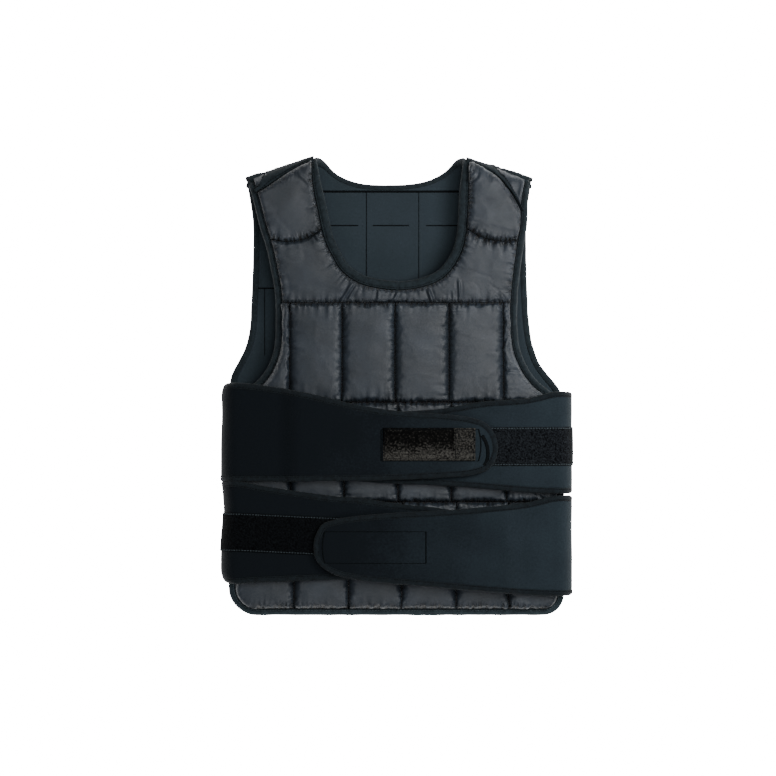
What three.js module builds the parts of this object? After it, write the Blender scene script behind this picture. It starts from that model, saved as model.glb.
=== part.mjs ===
// A weighted vest lying on its back, front side up: a quilted front and back panel of filled pockets,
// joined over the shoulders, with two pairs of neoprene wraps sewn to the back's sides and closed
// across the front. Millimetres: +X right and +Y towards the shoulders as seen from above, +Z up.

import * as THREE from "three";

// Panels: both are measured from the hem edge of their quilting, up the middle.
const HALF_WIDTH = 210;
const BODY_LENGTH = 590;
const CORNER_RADIUS = 28;
const LINING_THICKNESS = 3;
const POCKET_HEIGHT = 19.5;
const SHOULDER_HEIGHT = 14;
const SEAM_HEIGHT = 5.5;
const BULGE_REACH = 24;
const FLOOR_SEAM_RISE = 18.6;

// Hollow between the linings: its height under the shoulders, at the middle and at the sides, the
// hem's share of the middle's, and the shares of BODY_LENGTH where it is highest and goes level.
const HOLLOW_SHOULDER = 22;
const HOLLOW_MIDDLE = 24;
const HOLLOW_SIDE = 8;
const HEM_HOLLOW_SHARE = 0.55;
const DOME_TOP = 0.6;
const LEVEL_FROM = 0.85;

// Shoulders: a line over the body's length slopes down both ways from SHOULDER_CENTRE.
const SHOULDER_CENTRE = -11;
const SHOULDER_SLOPE = 0.375;
const SHOULDER_ROUNDING = 60;
const SHOULDER_RISE = 49;
const SEAM_ANGLE_NECK = THREE.MathUtils.degToRad(95);
const SEAM_ANGLE_ARM = THREE.MathUtils.degToRad(62);
const SEAM_NECK_REACH = 99;
const SEAM_ARM_REACH = 176;

// Bindings: sewn tape folded over the panels' edges.
const BINDING_WIDTH = 8.5;
const NECK_BINDING_WIDTH = 12;
const BACK_NECK_BINDING_WIDTH = 7;
const BINDING_RISE = 7;
const BINDING_DROP = 1;

// Side wraps: neoprene sheets that curl up round the sides.
const WRAP_HEIGHT = 130;
const WRAP_REACH = 338;
const WRAP_GAP_LEFT = 3;
const WRAP_GAP_RIGHT = 10.5;
const WRAP_THICKNESS = 4;
const WRAP_BINDING_WIDTH = 8;
const WRAP_BINDING_RISE = 0.5;
const CURL_INSET = 4;
const CURL_BULGE = 18;
const ROOT_ANGLE = THREE.MathUtils.degToRad(134);
const ROOT_HEIGHT = 13;
const LIFT_RAMP = 32;

// Tapes and patch on the wraps.
const TAPE_WIDTH = 50;
const LOOP_THICKNESS = 1.2;
const HOOK_WIDTH = 45;
const HOOK_THICKNESS = 1.5;
const PATCH_WIDTH = 42;
const PATCH_THICKNESS = 1.2;
const PATCH_TAB_RISE = 1;
const PATCH_TAB_SLOPE = 0.5;

// Clearances between pieces that are sewn together.
const SEWN_GAP = 0.3;
const LINING_INSET = 0.7;
const QUILT_INSET = 1.1;
const QUILT_GAP = 0.6;
const SEAM_TAPE_WIDTH = 10;

// Side channels of the back are this much wider than the rounded corner beside them.
const SIDE_CHANNEL_LEFT = 2;
const SIDE_CHANNEL_RIGHT = 11;

// Seams: heights as shares of BODY_LENGTH, places across as shares of HALF_WIDTH.
const LOWER_SEAMS = [0, 0.2358, 0.4555, 0.675];
const FRONT_COLUMNS = [
  [-1, -0.662, -0.337, -0.01, 0.325, 0.662, 1],
  [-1, -0.657, -0.325, 0.009, 0.34, 0.681, 1],
  [-1, -0.635, -0.297, 0.034, 0.371, 0.693, 1],
];
const BACK_COLUMNS = [
  -1,
  (CORNER_RADIUS + SIDE_CHANNEL_LEFT) / HALF_WIDTH - 1,
  -0.524, -0.189, 0.146, 0.48,
  1 - (CORNER_RADIUS + SIDE_CHANNEL_RIGHT) / HALF_WIDTH,
  1,
];
const BACK_SEAMS = [0, 0.186, 0.406, 0.626, 0.8466];
const BACK_SIDE_TOP = 0.532;

// Shares of the rows between the yoke's foot and the shoulder seam.
const PAD_SEAM_LEFT = 0.486;
const PAD_SEAM_RIGHT = 0.509;
const PAD_SAG = 0.05;
const BACK_YOKE_TOP = 0.3;
const NECK_TAPE_TOP = 0.98;

// Quilt edges: straight up to SIDES_STRAIGHT, then height as a share of BODY_LENGTH, left and right
// as shares of HALF_WIDTH.
const SIDES_STRAIGHT = 0.4;
const ARMHOLE_START = 0.43;
const FRONT_SIDES = [
  { height: 0.43, left: 1.0, right: 1.0 },
  { height: 0.446, left: 0.99, right: 0.99 },
  { height: 0.469, left: 0.933, right: 0.926 },
  { height: 0.489, left: 0.848, right: 0.857 },
  { height: 0.508, left: 0.798, right: 0.81 },
  { height: 0.526, left: 0.765, right: 0.776 },
  { height: 0.57, left: 0.721, right: 0.726 },
  { height: 0.636, left: 0.709, right: 0.707 },
  { height: 0.7025, left: 0.715, right: 0.714 },
  { height: 0.752, left: 0.74, right: 0.729 },
  { height: 0.8025, left: 0.771, right: 0.748 },
  { height: 0.847, left: 0.81, right: 0.769 },
  { height: 0.911, left: 0.857, right: 0.779 },
  { height: 1.0, left: 0.95, right: 0.85 },
];
const BACK_SIDES = [
  { height: 0.43, left: 1.0, right: 1.0 },
  { height: 0.462, left: 1.0, right: 0.995 },
  { height: 0.482, left: 1.0, right: 0.967 },
  { height: 0.509, left: 0.99, right: 0.905 },
  { height: 0.536, left: 0.952, right: 0.852 },
  { height: 0.57, left: 0.905, right: 0.814 },
  { height: 0.614, left: 0.874, right: 0.79 },
  { height: 0.674, left: 0.862, right: 0.776 },
  { height: 0.775, left: 0.852, right: 0.767 },
  { height: 0.857, left: 0.852, right: 0.767 },
  { height: 0.93, left: 0.883, right: 0.79 },
  { height: 1.06, left: 0.93, right: 0.85 },
];

// Neck edges from the left shoulder down to the middle and up the right one, in the same shares.
const FRONT_NECK = [
  { across: -0.532, height: 1.05 },
  { across: -0.517, height: 0.935 },
  { across: -0.486, height: 0.879 },
  { across: -0.443, height: 0.813 },
  { across: -0.4, height: 0.78 },
  { across: -0.35, height: 0.75 },
  { across: -0.288, height: 0.73 },
  { across: -0.2, height: 0.714 },
  { across: 0.022, height: 0.703 },
  { across: 0.2, height: 0.714 },
  { across: 0.288, height: 0.73 },
  { across: 0.343, height: 0.75 },
  { across: 0.393, height: 0.78 },
  { across: 0.423, height: 0.813 },
  { across: 0.44, height: 0.879 },
  { across: 0.445, height: 0.935 },
  { across: 0.45, height: 1.05 },
];
const BACK_NECK = [
  { across: -0.538, height: 1.05 },
  { across: -0.53, height: 1.005 },
  { across: -0.5, height: 0.988 },
  { across: -0.452, height: 0.972 },
  { across: -0.41, height: 0.957 },
  { across: -0.357, height: 0.944 },
  { across: -0.24, height: 0.929 },
  { across: 0.0, height: 0.9246 },
  { across: 0.167, height: 0.931 },
  { across: 0.248, height: 0.9405 },
  { across: 0.305, height: 0.952 },
  { across: 0.352, height: 0.966 },
  { across: 0.395, height: 0.982 },
  { across: 0.438, height: 1.002 },
  { across: 0.452, height: 1.05 },
];

// Wraps: side they are sewn to, top of the sewn edge as a share of BODY_LENGTH or the gap under the
// wrap above, height there and reach over the front. Edge rows: along the reach, then top and bottom
// as shares of the height, down from the top.
const WRAPS = {
  upper_right: {
    side: 1, top: 0.4794, height: 1.005 * WRAP_HEIGHT, reach: 0.97 * WRAP_REACH, tip: 0.58,
    edges: [
      { along: 0, top: 0, bottom: 1 },
      { along: 0.1, top: 0.06, bottom: 1 },
      { along: 0.3, top: 0.104, bottom: 0.965 },
      { along: 0.456, top: 0.17, bottom: 0.935 },
      { along: 0.694, top: 0.214, bottom: 0.91 },
      { along: 0.853, top: 0.264, bottom: 0.87 },
      { along: 0.94, top: 0.343, bottom: 0.8 },
      { along: 0.986, top: 0.46, bottom: 0.69 },
    ],
  },
  upper_left: {
    side: -1, top: 0.4989, height: 0.99 * WRAP_HEIGHT, reach: WRAP_REACH, tip: 0.66, under: "upper_right",
    edges: [
      { along: 0, top: 0, bottom: 1 },
      { along: 0.16, top: 0.05, bottom: 1 },
      { along: 0.354, top: 0.155, bottom: 0.995 },
      { along: 0.469, top: 0.227, bottom: 0.99 },
      { along: 0.623, top: 0.287, bottom: 0.98 },
      { along: 0.777, top: 0.312, bottom: 0.96 },
      { along: 0.892, top: 0.348, bottom: 0.935 },
      { along: 0.95, top: 0.403, bottom: 0.89 },
      { along: 0.984, top: 0.5, bottom: 0.81 },
    ],
  },
  lower_left: {
    side: -1, above: "upper_left", gap: WRAP_GAP_LEFT, height: WRAP_HEIGHT, reach: 1.009 * WRAP_REACH,
    tip: 0.59,
    edges: [
      { along: 0, top: 0, bottom: 1 },
      { along: 0.084, top: 0.04, bottom: 0.985 },
      { along: 0.351, top: 0.14, bottom: 0.96 },
      { along: 0.466, top: 0.16, bottom: 0.95 },
      { along: 0.618, top: 0.22, bottom: 0.93 },
      { along: 0.771, top: 0.26, bottom: 0.9 },
      { along: 0.905, top: 0.34, bottom: 0.84 },
      { along: 0.969, top: 0.46, bottom: 0.72 },
    ],
  },
  lower_right: {
    side: 1, above: "upper_right", gap: WRAP_GAP_RIGHT, height: 0.96 * WRAP_HEIGHT, reach: 0.929 * WRAP_REACH,
    tip: 0.49, under: "lower_left",
    edges: [
      { along: 0, top: 0, bottom: 1 },
      { along: 0.104, top: 0.02, bottom: 0.99 },
      { along: 0.311, top: 0.073, bottom: 0.948 },
      { along: 0.476, top: 0.104, bottom: 0.911 },
      { along: 0.642, top: 0.125, bottom: 0.875 },
      { along: 0.807, top: 0.156, bottom: 0.833 },
      { along: 0.911, top: 0.198, bottom: 0.776 },
      { along: 0.965, top: 0.25, bottom: 0.693 },
      { along: 0.992, top: 0.375, bottom: 0.604 },
    ],
  },
};

// Tapes: place along the wrap's reach, middle line as shares of the wrap's height.
const LOOP_TAPES = {
  upper: { wrap: "upper_right", end: 0.86, rootMiddle: 0.545, tipMiddle: 0.55 },
  lower: { wrap: "lower_left", end: 0.86, rootMiddle: 0.49, tipMiddle: 0.56 },
};
const HOOK_TAPES = {
  upper: { wrap: "upper_left", start: 0.545, end: 0.93, middle: 0.63 },
  lower: { wrap: "lower_right", start: 0.528, end: 0.93, middle: 0.49 },
};
const PATCH = { wrap: "upper_left", start: 0.558, tab: 0.83, end: 0.912, middle: 0.62 };

const MATERIALS = {
  quilt: cloth(0x454b51, 0.55),
  lining: cloth(0x2a343b, 0.85),
  binding: cloth(0x262e31, 0.8),
  neoprene: cloth(0x1a232a, 0.75),
  loop: cloth(0x101214, 1),
  hook: cloth(0x141618, 0.7),
  satin: cloth(0x0e0f10, 0.4),
};

// Worked-out sizes
const ROW_GAP = 0.005;
const FOLD_RADIUS = HOLLOW_SHOULDER / 2 + LINING_THICKNESS;
const FOLD_HEIGHT = FLOOR_SEAM_RISE + FOLD_RADIUS;
const CURL_X = HALF_WIDTH - CURL_INSET;
const CURL_ARC = CURL_BULGE + WRAP_THICKNESS / 2;
const ROOT_REACH = -ROOT_ANGLE * CURL_ARC;
const LAYERS_BETWEEN = WRAP_THICKNESS + LOOP_THICKNESS + HOOK_THICKNESS + 3 * SEWN_GAP;

const { clamp, lerp, smoothstep } = THREE.MathUtils;

function cloth(color, roughness) {
  return new THREE.MeshStandardMaterial({ color, roughness, metalness: 0 });
}

// Shoulders and the two panels' surfaces

function foldLine(x) {
  const aside = Math.hypot(x - SHOULDER_CENTRE, SHOULDER_ROUNDING);
  return BODY_LENGTH + SHOULDER_RISE - SHOULDER_SLOPE * aside - FOLD_RADIUS - SHOULDER_HEIGHT;
}

function seamAngle(x) {
  const aside = Math.abs(x - SHOULDER_CENTRE) - SEAM_NECK_REACH;
  const along = clamp(aside / (SEAM_ARM_REACH - SEAM_NECK_REACH), 0, 1);
  return lerp(SEAM_ANGLE_NECK, SEAM_ANGLE_ARM, along);
}

function frontFloor(x, y) {
  const side = 1 - Math.min(1, (x / HALF_WIDTH) ** 2);
  const up = lerp(HEM_HOLLOW_SHARE, 1, smoothstep(y, 0, BODY_LENGTH * DOME_TOP));
  const domed = HOLLOW_SIDE + (HOLLOW_MIDDLE - HOLLOW_SIDE) * side * up;
  const level = smoothstep(y, BODY_LENGTH * DOME_TOP, BODY_LENGTH * LEVEL_FROM);
  const hollow = lerp(domed, HOLLOW_SHOULDER, level);
  return FLOOR_SEAM_RISE + 2 * LINING_THICKNESS + hollow;
}

// Front panel: (x, height) on the lining's outer face, raised by out; past the fold it curls down.
function frontSurface(x, height, out) {
  const fold = foldLine(x);
  if (height <= fold) return new THREE.Vector3(x, height, frontFloor(x, height) + out);
  const turn = (height - fold) / FOLD_RADIUS;
  const radius = FOLD_RADIUS + out;
  return new THREE.Vector3(x, fold + radius * Math.sin(turn), FOLD_HEIGHT + radius * Math.cos(turn));
}

// Back panel: the same from below; what would sink under the floor is flattened on it.
function backSurface(x, height, out) {
  const fold = foldLine(x);
  const turn = Math.max(0, height - fold) / FOLD_RADIUS;
  const radius = FOLD_RADIUS + out;
  const y = Math.min(height, fold) + radius * Math.sin(turn);
  return new THREE.Vector3(x, y, Math.max(0, FOLD_HEIGHT - radius * Math.cos(turn)));
}

const FRONT = {
  surface: frontSurface,
  rowStart: LOWER_SEAMS[3] * BODY_LENGTH,
  seam: (x) => foldLine(x) + FOLD_RADIUS * seamAngle(x),
  sides: FRONT_SIDES,
  neck: FRONT_NECK,
  neckStep: 16,
  curlRow: 0.78,
  curlStep: 0.034,
  levels: [0.18, 0.31, 0.415, 0.445, 0.461, 0.478, 0.493, 0.51, 0.53, 0.56, 0.61, 0.672],
};
const BACK = {
  surface: backSurface,
  rowStart: BACK_SEAMS[4] * BODY_LENGTH,
  seam: (x) => foldLine(x) + FOLD_RADIUS * (Math.PI - seamAngle(x)),
  sides: BACK_SIDES,
  neck: BACK_NECK,
  neckStep: 9,
  curlRow: 0.4,
  curlStep: 0.05,
  levels: [0.2, 0.42, 0.462, 0.482, 0.501, 0.52, 0.54, 0.57, 0.62, 0.72, 0.8466],
};

// Row where the front quilting ends and the shoulder's seam tape starts.
const STRAP_MIDDLE = SHOULDER_CENTRE - (SEAM_NECK_REACH + SEAM_ARM_REACH) / 2;
const TAPE_ROW = 1 - SEAM_TAPE_WIDTH / (FRONT.seam(STRAP_MIDDLE) - FRONT.rowStart);

// Rows run level up to rowStart (row -1 to 0) and then lean with the shoulder seam (row 0 to 1).
function rowOf(panel, x, y) {
  if (y <= panel.rowStart) return y / panel.rowStart - 1;
  return (y - panel.rowStart) / (panel.seam(x) - panel.rowStart);
}

function heightOf(panel, x, row) {
  if (row <= 0) return (row + 1) * panel.rowStart;
  return lerp(panel.rowStart, panel.seam(x), row);
}

// Outlines as fine polylines

function smoothLine(points) {
  const knots = points.map(([x, y]) => new THREE.Vector3(x, y, 0));
  const curve = new THREE.CatmullRomCurve3(knots, false, "centripetal");
  return curve.getPoints(points.length * 12).map((p) => new THREE.Vector2(p.x, p.y));
}

// Moves a line sideways by distance, to the right of its direction.
function offsetLine(line, distance) {
  return line.map((point, i) => {
    const before = line[Math.max(0, i - 1)];
    const after = line[Math.min(line.length - 1, i + 1)];
    const along = after.clone().sub(before).normalize();
    return new THREE.Vector2(point.x + along.y * distance, point.y - along.x * distance);
  });
}

// Side edge of a panel from the hem corner up, pushed out by distance.
function sideLine(panel, side, distance) {
  const corner = [];
  for (let step = 0; step < 6; step += 1) {
    const turn = (step / 6) * (Math.PI / 2);
    const x = HALF_WIDTH - CORNER_RADIUS * (1 - Math.sin(turn));
    corner.push([side * x, CORNER_RADIUS * (1 - Math.cos(turn))]);
  }
  const straight = [CORNER_RADIUS, BODY_LENGTH * SIDES_STRAIGHT].map((y) => [side * HALF_WIDTH, y]);
  const rows = panel.sides.map((row) => [
    side * HALF_WIDTH * (side < 0 ? row.left : row.right),
    row.height * BODY_LENGTH,
  ]);
  return offsetLine(smoothLine([...corner, ...straight, ...rows]), side * distance);
}

// Half of the neck edge from the middle up, pushed into the quilt by distance.
function neckLine(panel, side, distance) {
  const whole = smoothLine(panel.neck.map((row) => [row.across * HALF_WIDTH, row.height * BODY_LENGTH]));
  const moved = offsetLine(whole, distance);
  const lowest = moved.reduce((best, point, i) => (point.y < moved[best].y ? i : best), 0);
  return side < 0 ? moved.slice(0, lowest + 1).reverse() : moved.slice(lowest);
}

// Place where a line crosses a value of measure, with the direction to the right of the line.
function crossing(line, measure, wanted) {
  let last = 1;
  while (last + 1 < line.length && measure(line[last]) < wanted) last += 1;
  const [start, end] = [line[last - 1], line[last]];
  const step = end.clone().sub(start);
  const span = measure(end) - measure(start);
  const along = span > 0 ? clamp((wanted - measure(start)) / span, 0, 1) : 0;
  const normal = new THREE.Vector2(step.y, -step.x).normalize();
  return { x: start.x + step.x * along, y: start.y + step.y * along, normal };
}

const rowCrossing = (panel, line, row) => crossing(line, (p) => rowOf(panel, p.x, p.y), row);

// Half panels: a row's inner end is on the neck edge, or on the middle line below the neck.
function halfPanel(panel, side, inset, middleGap = 0) {
  const outer = sideLine(panel, side, -inset);
  const neck = neckLine(panel, side, inset);
  const neckRow = rowOf(panel, neck[0].x, neck[0].y);
  const middle = neck[0].x + side * middleGap;
  const at = (row, across) => {
    const end = rowCrossing(panel, outer, row).x;
    const start = row <= neckRow ? middle : rowCrossing(panel, neck, row).x;
    const x = lerp(start, end, across);
    return { x, y: heightOf(panel, x, row) };
  };
  return { at, neckRow, outer, neck };
}

// Rows of a panel: level ones up the sides, then one for each step along its neck edge.
function lowerRows(panel) {
  const corner = [1, 2, 3].map((step) => CORNER_RADIUS * (1 - Math.cos((step / 3) * (Math.PI / 2))));
  const heights = [0, ...corner, ...panel.levels.map((share) => share * BODY_LENGTH)];
  return heights.map((height) => rowOf(panel, 0, height));
}

function neckRows(panel, half, top) {
  const rows = [half.neckRow];
  const spare = 0.4 * panel.curlStep;
  let reach = 0;
  for (let i = 1; i < half.neck.length; i += 1) {
    reach += half.neck[i].distanceTo(half.neck[i - 1]);
    const row = rowOf(panel, half.neck[i].x, half.neck[i].y);
    if (row > top - spare) break;
    if (reach >= panel.neckStep || (row > panel.curlRow && row - rows.at(-1) >= panel.curlStep)) {
      rows.push(row);
      reach = 0;
    }
  }
  return [...rows, top];
}

// Closed bodies

// A closed body over grids of points, each with a low and a high face; shared points are merged.
class Body {
  constructor(surface) {
    this.surface = surface;
    this.points = [];
    this.index = new Map();
    this.quads = [];
  }

  point(x, y, low, high) {
    const key = `${x.toFixed(3)},${y.toFixed(3)}`;
    if (!this.index.has(key)) {
      this.index.set(key, this.points.length);
      this.points.push({ x, y, low, high });
    }
    return this.index.get(key);
  }

  // Rows run upwards; each is turned to run to the right, so that neighbouring grids agree.
  grid(rows) {
    const turned = rows[0].at(-1).x < rows[0][0].x;
    const ordered = turned ? rows.map((row) => [...row].reverse()) : rows;
    const ids = ordered.map((row) => row.map((p) => this.point(p.x, p.y, p.low, p.high)));
    for (let j = 0; j + 1 < ids.length; j += 1) {
      for (let i = 0; i + 1 < ids[j].length; i += 1) {
        this.quads.push([ids[j][i], ids[j][i + 1], ids[j + 1][i + 1], ids[j + 1][i]]);
      }
    }
  }

  // Top and bottom faces of each cell, and walls along the edges that only one cell has.
  geometry() {
    const count = this.points.length;
    const low = this.points.map((p) => this.surface(p.x, p.y, p.low));
    const high = this.points.map((p) => this.surface(p.x, p.y, p.high));
    const faces = [];
    const edges = new Map();
    const face = (a, b, c) => {
      if (a === b || b === c || c === a) return;
      faces.push(a + count, b + count, c + count, a, c, b);
      for (const [from, to] of [[a, b], [b, c], [c, a]]) {
        if (!edges.delete(`${to},${from}`)) edges.set(`${from},${to}`, [from, to]);
      }
    };
    for (const [a, b, c, d] of this.quads) {
      face(a, b, c);
      face(a, c, d);
    }
    for (const [from, to] of edges.values()) {
      faces.push(from, to, to + count, from, to + count, from + count);
    }
    return solid([...low, ...high], faces);
  }
}

// Geometry of a closed body, turned right side out.
function solid(points, faces) {
  let volume = 0;
  for (let i = 0; i < faces.length; i += 3) {
    const [a, b, c] = [points[faces[i]], points[faces[i + 1]], points[faces[i + 2]]];
    volume += a.dot(b.clone().cross(c));
  }
  const geometry = new THREE.BufferGeometry();
  geometry.setAttribute("position", new THREE.Float32BufferAttribute(points.flatMap((p) => p.toArray()), 3));
  geometry.setIndex(volume < 0 ? faces.reverse() : faces);
  geometry.computeVertexNormals();
  return geometry;
}

// Sewn tape: its section, as shares of width and height, carried round an edge.
const BAND_SECTION = [[0, 0], [0, 1], [0.74, 1], [1, 0.5], [0.74, 0]];

function band(rings, closed) {
  const size = BAND_SECTION.length;
  const faces = [];
  const last = closed ? rings.length : rings.length - 1;
  for (let i = 0; i < last; i += 1) {
    const next = (i + 1) % rings.length;
    for (let k = 0; k < size; k += 1) {
      const l = (k + 1) % size;
      faces.push(i * size + k, i * size + l, next * size + l, i * size + k, next * size + l, next * size + k);
    }
  }
  if (!closed) {
    const end = (rings.length - 1) * size;
    for (let k = 1; k + 1 < size; k += 1) {
      faces.push(0, k + 1, k, end, end + k, end + k + 1);
    }
  }
  return solid(rings.flat(), faces);
}

// Ring of a tape at a place on an edge, reaching outwards from it by width.
function tapeRing(surface, place, outward, width, low, high) {
  return BAND_SECTION.map(([across, up]) => {
    const reach = outward * lerp(SEWN_GAP, width, across);
    return surface(place.x + place.normal.x * reach, place.y + place.normal.y * reach, lerp(low, high, up));
  });
}

// Quilting

// Height of a filled pocket at a distance from its nearest seam: a quarter circle up to the full height.
function bulge(distance, height) {
  const along = clamp(distance / BULGE_REACH, 0, 1);
  return SEAM_HEIGHT + (height - SEAM_HEIGHT) * Math.sqrt(1 - (1 - along) ** 2);
}

const POCKET_ACROSS = [0, 0.14, 0.36, 0.64, 0.86, 1];
const POCKET_UP = [0, 0.13, 0.5, 0.87, 1];
const CHANNEL_UP = [0, 0.16, 0.84, 1];
const PAD_UP = [0, 0.1, 0.35, 0.6, 0.72, 0.8, 0.87, 0.93, 1];
const PAD_ACROSS = [0, 0.13, 0.38, 0.62, 0.87, 1];

// Filled pocket between two heights and two side functions.
function pocket(body, { left, right }, low, high, ups) {
  body.grid(ups.map((up) => {
    const y = lerp(low, high, up);
    const width = right(y) - left(y);
    return POCKET_ACROSS.map((across) => {
      const near = Math.min(Math.min(across, 1 - across) * width, Math.min(up, 1 - up) * (high - low));
      return { x: left(y) + across * width, y, low: QUILT_GAP, high: bulge(near, POCKET_HEIGHT) };
    });
  }));
}

// Sides of a column of pockets: its seams, or the panel's edge where that comes first.
function columnSides(panel, columns, column) {
  const edges = [-1, 1].map((side) => sideLine(panel, side, -QUILT_INSET));
  const edgeAt = (line, y) => crossing(line, (p) => p.y, y).x;
  const beyond = 2 * HALF_WIDTH;
  const seam = (share, side) =>
    (Math.abs(share) < 1 ? share * HALF_WIDTH + side * QUILT_GAP : share * beyond);
  return {
    left: (y) => Math.max(seam(columns[column], 1), edgeAt(edges[0], y)),
    right: (y) => Math.min(seam(columns[column + 1], -1), edgeAt(edges[1], y)),
  };
}

const vest = new THREE.Group();

function add(name, geometry, material) {
  const mesh = new THREE.Mesh(geometry, material);
  mesh.name = name;
  vest.add(mesh);
}

const sideName = (side) => (side < 0 ? "left" : "right");

function frontPockets() {
  FRONT_COLUMNS.forEach((columns, row) => {
    const low = LOWER_SEAMS[2 - row] * BODY_LENGTH + (row === 2 ? QUILT_INSET : QUILT_GAP);
    const high = LOWER_SEAMS[3 - row] * BODY_LENGTH - QUILT_GAP;
    for (let column = 0; column + 1 < columns.length; column += 1) {
      const body = new Body(FRONT.surface);
      const byArmhole = row === 0 && (column === 0 || column + 2 === columns.length);
      pocket(body, columnSides(FRONT, columns, column), low, high, byArmhole ? evenly(10) : POCKET_UP);
      add(`pocket_row${row + 1}_${column + 1}`, body.geometry(), MATERIALS.quilt);
    }
  });
}

function backChannels() {
  for (let column = 0; column + 1 < BACK_COLUMNS.length; column += 1) {
    const outer = column === 0 || column + 2 === BACK_COLUMNS.length;
    const seams = outer ? [...BACK_SEAMS.slice(0, 3), BACK_SIDE_TOP] : BACK_SEAMS;
    const sides = columnSides(BACK, BACK_COLUMNS, column);
    const body = new Body(BACK.surface);
    for (let row = 0; row + 1 < seams.length; row += 1) {
      const low = seams[row] * BODY_LENGTH + (row === 0 ? QUILT_INSET : 0);
      const high = seams[row + 1] * BODY_LENGTH - (row + 2 === seams.length ? QUILT_GAP : 0);
      const byArmhole = row === 2 && (column < 2 || column > 4);
      pocket(body, sides, low, high, byArmhole ? evenly(6) : CHANNEL_UP);
    }
    add(`back_channel_${column + 1}`, body.geometry(), MATERIALS.quilt);
  }
}

function nearestOn(line, point) {
  return Math.min(...line.map((p) => Math.hypot(p.x - point.x, p.y - point.y)));
}

// Quilted stretch of half a panel between two row functions of the place across.
function stretch(body, panel, half, from, to, ups, peak, open) {
  body.grid(ups.map((up) => PAD_ACROSS.map((across) => {
    const point = half.at(lerp(from(across), to(across), up), across);
    const below = half.at(from(across), across);
    const above = half.at(to(across), across);
    const near = Math.min(
      nearestOn(half.outer, point),
      open ? Infinity : nearestOn(half.neck, point),
      point.y - below.y,
      above.y - point.y,
    );
    return { ...point, low: QUILT_GAP, high: bulge(near, peak) };
  })));
}

const evenly = (count) => Array.from({ length: count + 1 }, (_, i) => i / count);
const padSeam = (side) => (side < 0 ? PAD_SEAM_LEFT : PAD_SEAM_RIGHT);
const padFoot = (side, across) => padSeam(side) - PAD_SAG * (1 - (2 * across - 1) ** 2);

function shoulderPads() {
  for (const side of [-1, 1]) {
    const front = halfPanel(FRONT, side, QUILT_INSET);
    const pad = new Body(FRONT.surface);
    const padTop = () => TAPE_ROW - ROW_GAP;
    const foot = (across) => padFoot(side, across) + ROW_GAP;
    stretch(pad, FRONT, front, foot, padTop, PAD_UP, SHOULDER_HEIGHT);
    add(`shoulder_pad_${sideName(side)}`, pad.geometry(), MATERIALS.quilt);

    const back = halfPanel(BACK, side, QUILT_INSET, QUILT_GAP);
    const fold = new Body(BACK.surface);
    stretch(fold, BACK, back, () => BACK_YOKE_TOP + ROW_GAP, () => 1 - ROW_GAP, evenly(12), SHOULDER_HEIGHT);
    add(`back_shoulder_${sideName(side)}`, fold.geometry(), MATERIALS.quilt);
  }
}

// Yokes: both halves share the middle line, so each is one body.
function yokes() {
  const front = new Body(FRONT.surface);
  for (const side of [-1, 1]) {
    const half = halfPanel(FRONT, side, QUILT_INSET);
    const foot = () => ROW_GAP;
    const top = (across) => padFoot(side, across) - ROW_GAP;
    const split = (half.neckRow - ROW_GAP) / (padSeam(side) - 2 * ROW_GAP);
    const ups = [0, split, ...[0.02, 0.06, 0.14, 0.28, 0.5, 0.8, 1].map((up) => lerp(split, 1, up))];
    stretch(front, FRONT, half, foot, top, ups, SHOULDER_HEIGHT);
  }
  add("front_yoke", front.geometry(), MATERIALS.quilt);

  const back = new Body(BACK.surface);
  for (const side of [-1, 1]) {
    const half = halfPanel(BACK, side, QUILT_INSET);
    stretch(back, BACK, half, () => ROW_GAP, () => BACK_YOKE_TOP - ROW_GAP, evenly(3), SHOULDER_HEIGHT, true);
  }
  add("back_yoke", back.geometry(), MATERIALS.quilt);
}

function shoulderSeams() {
  for (const side of [-1, 1]) {
    const half = halfPanel(FRONT, side, LINING_INSET);
    const body = new Body(FRONT.surface);
    body.grid([0, 0.25, 0.75, 1].map((up) => evenly(4).map((across) => {
      const point = half.at(lerp(TAPE_ROW, 1, up), across);
      const high = up === 0 || up === 1 ? SEAM_HEIGHT : BINDING_RISE + 1;
      return { ...point, low: -LINING_THICKNESS, high };
    })));
    add(`shoulder_seam_${sideName(side)}`, body.geometry(), MATERIALS.binding);
  }
}

// Linings

const LINING_ACROSS = evenly(3);

function lining(panel, top) {
  const body = new Body(panel.surface);
  for (const side of [-1, 1]) {
    const half = halfPanel(panel, side, LINING_INSET);
    const rows = [...lowerRows(panel), ...neckRows(panel, half, top)];
    body.grid(rows.map((row) => LINING_ACROSS.map((across) => {
      const point = half.at(row, across);
      return { x: point.x, y: Math.max(point.y, LINING_INSET), low: -LINING_THICKNESS, high: 0 };
    })));
  }
  return body.geometry();
}

// Bindings

const panelRing = (panel, place, outward, width) =>
  tapeRing(panel.surface, place, outward, width, -LINING_THICKNESS - BINDING_DROP, BINDING_RISE);

function sideRings(panel, side, from, to, extraRows) {
  const line = sideLine(panel, side, 0);
  const inside = (row) => row > from + ROW_GAP && row < to - ROW_GAP;
  const rows = [from, ...lowerRows(panel).filter(inside), ...extraRows.filter(inside), to];
  return rows.map((row) => panelRing(panel, rowCrossing(panel, line, row), side, BINDING_WIDTH));
}

function neckRings(panel, side, top, width) {
  const line = neckLine(panel, side, 0);
  const half = halfPanel(panel, side, LINING_INSET);
  return neckRows(panel, half, top).slice(1).map((row) =>
    panelRing(panel, rowCrossing(panel, line, row), -side, width));
}

function neckBottomRing(panel, width) {
  const [place] = neckLine(panel, 1, 0);
  return panelRing(panel, { x: place.x, y: place.y, normal: new THREE.Vector2(0, 1) }, 1, width);
}

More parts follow.
